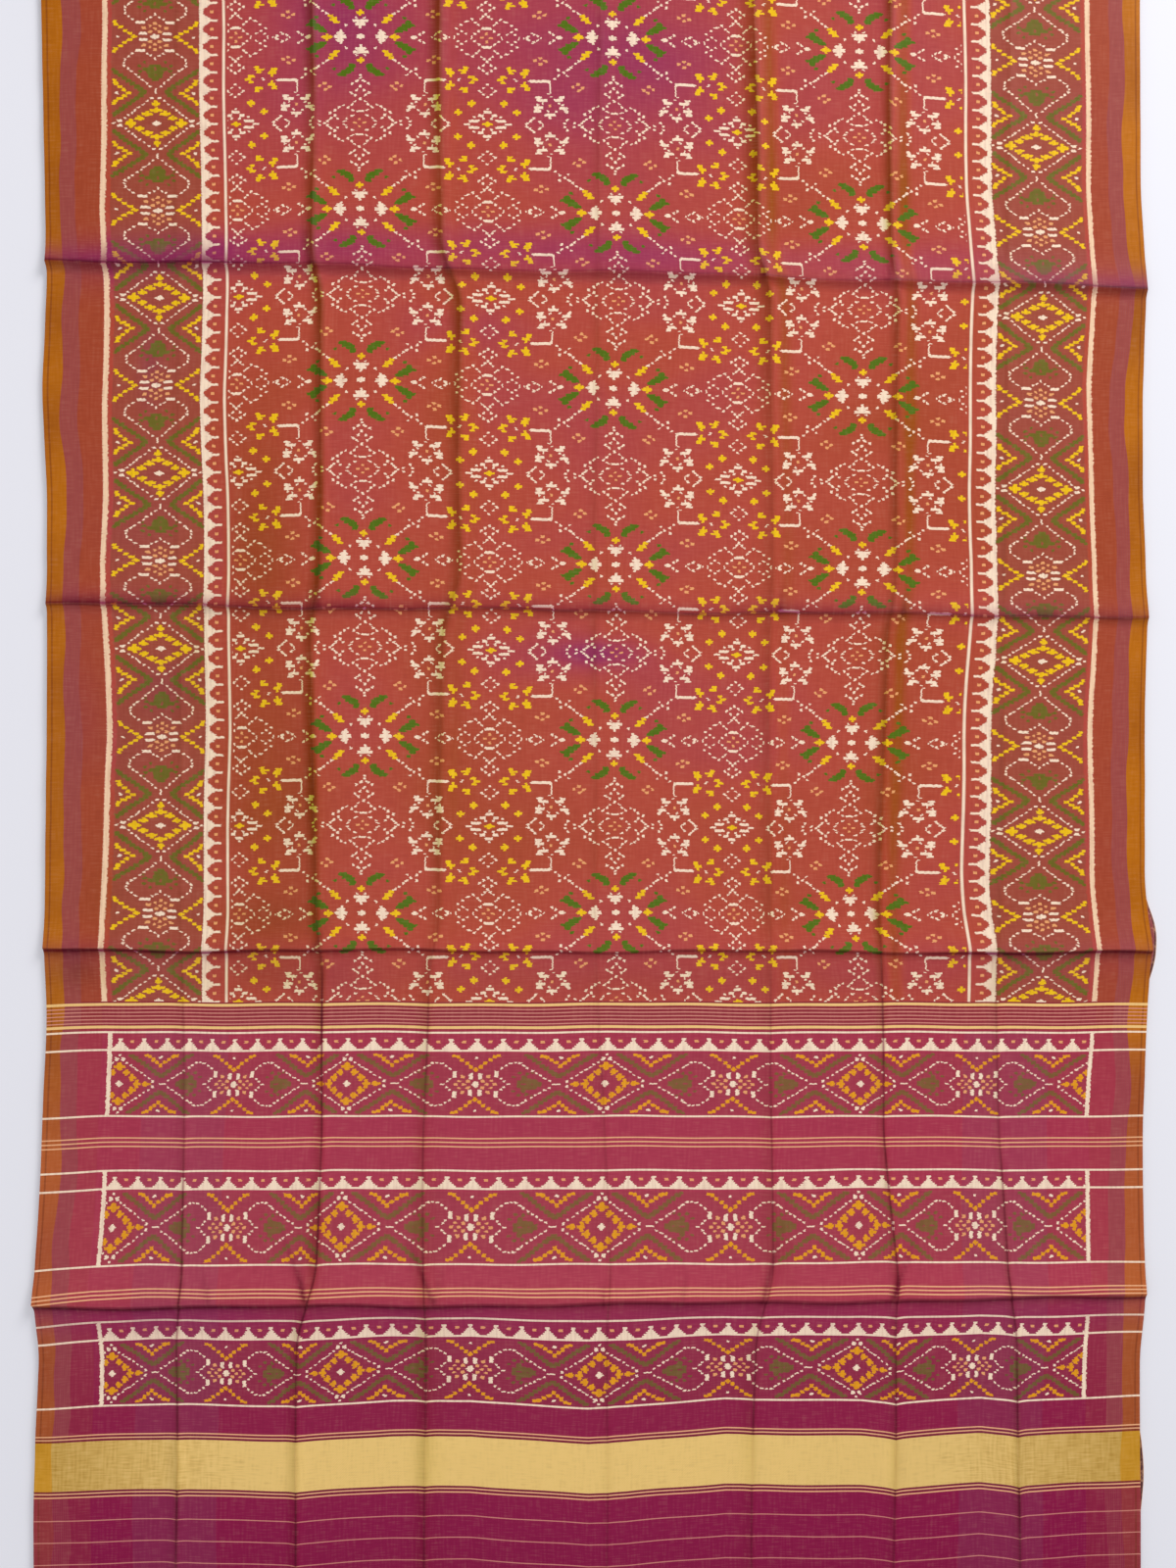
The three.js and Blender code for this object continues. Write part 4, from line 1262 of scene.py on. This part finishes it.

# %% [markdown]
# ### Grounds
# The field's ground is shot silk: the orange warp and the magenta weft show in turns. Soft drifts, part
# painted sheen and part random tone, and painted sheen and shade where the cloth leans at the creases
# set which shows. The pallu's weft is magenta throughout and deepens towards the end. The selvedges keep
# their orange warp.

# %% Ground colours
CREAM_DYE = dye("f8dec2")
BROWN_SHADE_TINT = (0.52, 0.54, 0.03, 1.0)
SHADE_TINT = (0.33, 0.03, 0.22, 1.0)
# Per point painted light: sheen, brown shade and sheen, purple sheen and shade, shade, and the crest's
# painted highlight.
drape_light_node = silk.node("ShaderNodeAttribute", {"attribute_name": "drape"}).socket.node
sheen_drift, brown_shade_and_sheen, purple_sheen_and_shade = channels(silk, Wire(silk, drape_light_node.outputs["Color"]))
painted_shade = Wire(silk, drape_light_node.outputs["Alpha"])
crest = silk.node("ShaderNodeAttribute", {"attribute_name": "crest"}, {}, 2)
cloudy = stretched_noise(0.006, 0.009, 1.0, shift=9.0)
# The shot-silk ramp, orange warp to magenta weft, is chosen by painted sheen and shade plus cloudy tone.
SHOT_STOPS = [(0.0, dye("9a4a06")), (0.28, dye("a84628")),
              (0.5, dye("b24736")), (0.75, dye("a63c4a")), (1.0, dye("922c58"))]
field_ground = silk.node("ShaderNodeValToRGB",
                         {"ramp_mode": "LINEAR", "stops": SHOT_STOPS}, {0: sheen_drift + cloudy * 0.35})
PALLU_STOPS = [
    (0.0, dye("8c2832")), (0.035, dye("902c38")), (0.045, dye("a63249")), (0.17, dye("a7324b")),
    (0.4, dye("ac3a4e")), (0.425, dye("a63748")), (0.45, dye("96284a")), (0.58, dye("8e1a44")),
    (0.76, dye("881043")), (1.0, dye("7e0e3a")),
]
pallu_ground = silk.node("ShaderNodeValToRGB",
                         {"ramp_mode": "LINEAR", "stops": PALLU_STOPS}, {0: v / PALLU_END})
ground = silk.mix(in_field, pallu_ground, field_ground)
ground = silk.mix(border_field * 0.6, ground, dye("8e4836"))
ground = silk.mix(in_band * 0.25, ground, dye("8f3c40"))
ground = silk.mix((from_edge < STRIPES_END) * (in_field * 0.55 + 0.15), ground, dye("9c4322"))
fine_threads = u.fold(1.1) > 0.6
edge_place = from_edge - cloudy * 16.0
mauve = edge_place.between(SELVEDGE_END, MAUVE_END)
ground = silk.mix(mauve * (0.5 + fine_threads * 0.3 - past_gold * 0.35), ground, dye("96484a"))
selvedge = edge_place < SELVEDGE_END
ground = silk.mix(from_edge.between(100.0, 185.0) * (v > 30.0) * 0.16, ground, dye("7c4a68"))
selvedge_share = selvedge * (0.97 - (v / 160.0).most(0.0).least(1.0) * 0.35 - past_gold * 0.44)
selvedge_dye = silk.mix(cloudy * 2.4 + 0.5, dye("a05606"), dye("bc6c02"))
ground = silk.mix(selvedge_share, ground, selvedge_dye)
# A thin dark line 5 mm in from each side: painted shade of the edge's fold.
ground = silk.mix(from_edge.near(5.0, 0.9) * 0.45, ground, dye("6a2a0c"))
print("nodes so far:", len(silk.tree.nodes))

# %% [markdown]
# ### Laying the dyes and the painted light over the ground
# The cell's digit now calls up its dye. Where the silk leans, painted shade and sheen turn it brown and
# purple in places, painted shade darkens it, and a painted highlight lightens each crosswise crest. Last
# comes the weave itself: threads that are a little uneven.

# %% Dyes, painted shade and sheen, and threads
wash = 0.95 + warp_bleed * 0.3
colour = silk.mix(cream.most(field_cream).most(pallu_cream).least(1.0) * wash, ground, CREAM_DYE)
colour = silk.mix(side_line * in_field * 0.32, colour, dye("e8a252"))
colour = silk.mix(yellow * wash, colour, silk.mix(in_field, dye("e59a10"), dye("f0c004")))
twill = (u + v).fold(1.25) > 0.5
colour = silk.mix(green * (1.0 - chart_border * 0.45 * twill - in_band * 0.18), colour, dye("4f6c08"))
colour = silk.mix(orange.most(side_drops * in_field).most(pallu_drops) * 0.9, colour, dye("eca66a"))
slub = weft_bleed * 0.7 + warp_bleed * 0.5
colour = silk.mix(beside_gold * 0.5, colour, dye("5c0e20"))
colour = silk.mix(pink_lines * 0.85, colour, dye("e09684"))
colour = silk.mix(peach_lines * 0.95, colour, dye("ecae80"))
colour = silk.mix(gold_edges, colour, dye("efc27c"))
# Gold thread, paler towards the middle of the cloth as painted sheen, and uneven with the slub.
gold_thread = silk.mix(from_edge * 0.004 + slub * 0.6 + 0.2, dye("c0943a"), dye("eec878"))
gold_thread = silk.mix(selvedge * 0.75, gold_thread, dye("dc9c14"))
colour = silk.mix(gold_band * (0.95 - selvedge * 0.1), colour, gold_thread)
# Painted light: brown painted shade and sheen, purple painted sheen and shade, then dark painted shade at
# creases and puckers.
colour = silk.mix(brown_shade_and_sheen.least(1.0) * (0.95 - gold_band * 0.1), colour, BROWN_SHADE_TINT, "MULTIPLY")
colour = silk.mix(purple_sheen_and_shade.least(1.0) * (0.8 - gold_band * 0.5), colour, dye("862054"))
colour = silk.mix(painted_shade.least(1.0) * (0.95 - gold_band * 0.75), colour, SHADE_TINT, "MULTIPLY")
# Painted highlight along each crosswise crest.
colour = silk.mix(crest.least(1.0) * 0.5, colour, dye("d98a6c"))
colour = silk.mix((slub * 0.12).most(0.0), colour, dye("ffc8a8"))
colour = silk.mix((slub * -0.3).most(0.0) + twill * 0.05, colour, dye("501018"))
silk.feed("Base Color", colour)
silk.feed("Roughness", 0.46 - gold_band * 0.08)
silk.feed("Metallic", gold_band * 0.2)
silk.feed("Specular IOR Level", 0.1)
silk.feed("Sheen Weight", 0.02)
silk.feed("Sheen Roughness", 0.4)
weave = u.fold(0.45) + v.fold(0.45)
bump = silk.node("ShaderNodeBump", {}, {"Strength": 0.2, "Distance": 0.0004, "Height": weave})
silk.feed("Normal", bump)
for obj in stretches.values():
    obj.data.materials.append(silk.material)
print("the silk has", len(silk.tree.nodes), "nodes")

# %% [markdown]
# ## The hidden layers' silk
# Only edges and a flat underside show. The edges are selvedge, orange-gold, with a dark maroon line of
# painted shade between the layers; the underside is the field's ground with faint light specks.

# %% Silk of the hidden layers
under = DyePot("folded_silk")
object_place = under.node("ShaderNodeTexCoord", {}, {}, 3)
axes = under.node("ShaderNodeSeparateXYZ", {}, {0: object_place}).socket.node
height = Wire(under, axes.outputs[2]) * 1000.0
aside = abs(Wire(under, axes.outputs[0])) * 1000.0
shade_between_layers = height.near(1.5, 0.18)
grain = under.node("ShaderNodeTexNoise", {"noise_dimensions": "3D"},
                   {"Vector": object_place, "Scale": 260.0, "Detail": 2.0}) - 0.5
lower = under.mix((aside > 548.0), dye("a2473c"), dye("b96a1c"))
upper = under.mix((aside > 560.0), dye("a2473c"), dye("8e3a3a"))
tone = under.mix(height > 1.5, lower, upper)
# A dark maroon line of painted shade where the two layers meet.
tone = under.mix(shade_between_layers, tone, dye("4a1a1c"))
tone = under.mix((grain * 1.2).most(0.0), tone, dye("ffc08a"))
under.feed("Base Color", tone)
under.feed("Roughness", 0.5 + grain * 0.2)
under.feed("Sheen Weight", 0.15)
folded.data.materials.append(under.material)
print("the hidden silk has", len(under.tree.nodes), "nodes")

# %% [markdown]
# ## Putting each piece in place
# Each shell replaces its CAD solid and rides on the one body.

# %% Pieces
for node, obj in stretches.items():
    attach(obj, "root")
    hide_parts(node)
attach(folded, "root")
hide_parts("folded_layers")
print("sheets declared:", len(stretches) + 1)

# %% [markdown]
# ## Floor, light and camera
# The saree was seen from straight above on a white sheet, in soft light from beyond its head. The
# floor is a plain pale plane. The camera stands 1.6 m above and takes in 1.2 by 1.6 m.

# %% Stage
floor_mesh = bpy.data.meshes.new("pale_floor")
floor_mesh.from_pydata([(-6, -6, -0.0005), (6, -6, -0.0005), (6, 6, -0.0005), (-6, 6, -0.0005)],
                       [], [(0, 1, 2, 3)])
floor = bpy.data.objects.new("pale_floor", floor_mesh)
bpy.context.scene.collection.objects.link(floor)
pale = DyePot("pale_floor")
pale.feed("Base Color", dye("e9e8ee"))
pale.feed("Roughness", 0.9)
floor_mesh.materials.append(pale.material)


def soft_light(name, at, target, size, power):
    """A square lamp that faces its target."""
    lamp = bpy.data.lights.new(name, "AREA")
    lamp.size = size
    lamp.energy = power
    obj = bpy.data.objects.new(name, lamp)
    bpy.context.scene.collection.objects.link(obj)
    at, target = np.array(at, float), np.array(target, float)
    obj.location = at
    away = at - target
    obj.rotation_euler = (math.atan2(math.hypot(away[0], away[1]), away[2]),
                          0, math.atan2(away[1], away[0]) + math.pi / 2)
    return obj


soft_light("window", (2.0, 2.8, 2.2), (0, 0, 0), 1.6, 96)
soft_light("overhead", (-0.3, -0.4, 3.2), (0, 0, 0), 2.6, 40)
world = bpy.data.worlds.new("room")
world.use_nodes = True
world.node_tree.nodes["Background"].inputs["Color"].default_value = (0.93, 0.95, 1.0, 1)
world.node_tree.nodes["Background"].inputs["Strength"].default_value = 0.42
bpy.context.scene.world = world
bpy.context.scene.view_settings.view_transform = "Standard"

# %% Camera
VIEW_HEIGHT = 1.6
VIEW_DISTANCE = 1.6
camera = bpy.data.cameras.new("camera")
camera.sensor_fit = "VERTICAL"
camera.sensor_height = 36.0
camera.lens = 36.0 * VIEW_DISTANCE / VIEW_HEIGHT
camera_object = bpy.data.objects.new("camera", camera)
bpy.context.scene.collection.objects.link(camera_object)
camera_object.location = (-0.008, 0.015, VIEW_DISTANCE + 0.005)
bpy.context.scene.camera = camera_object
print("lens:", camera.lens, "mm")
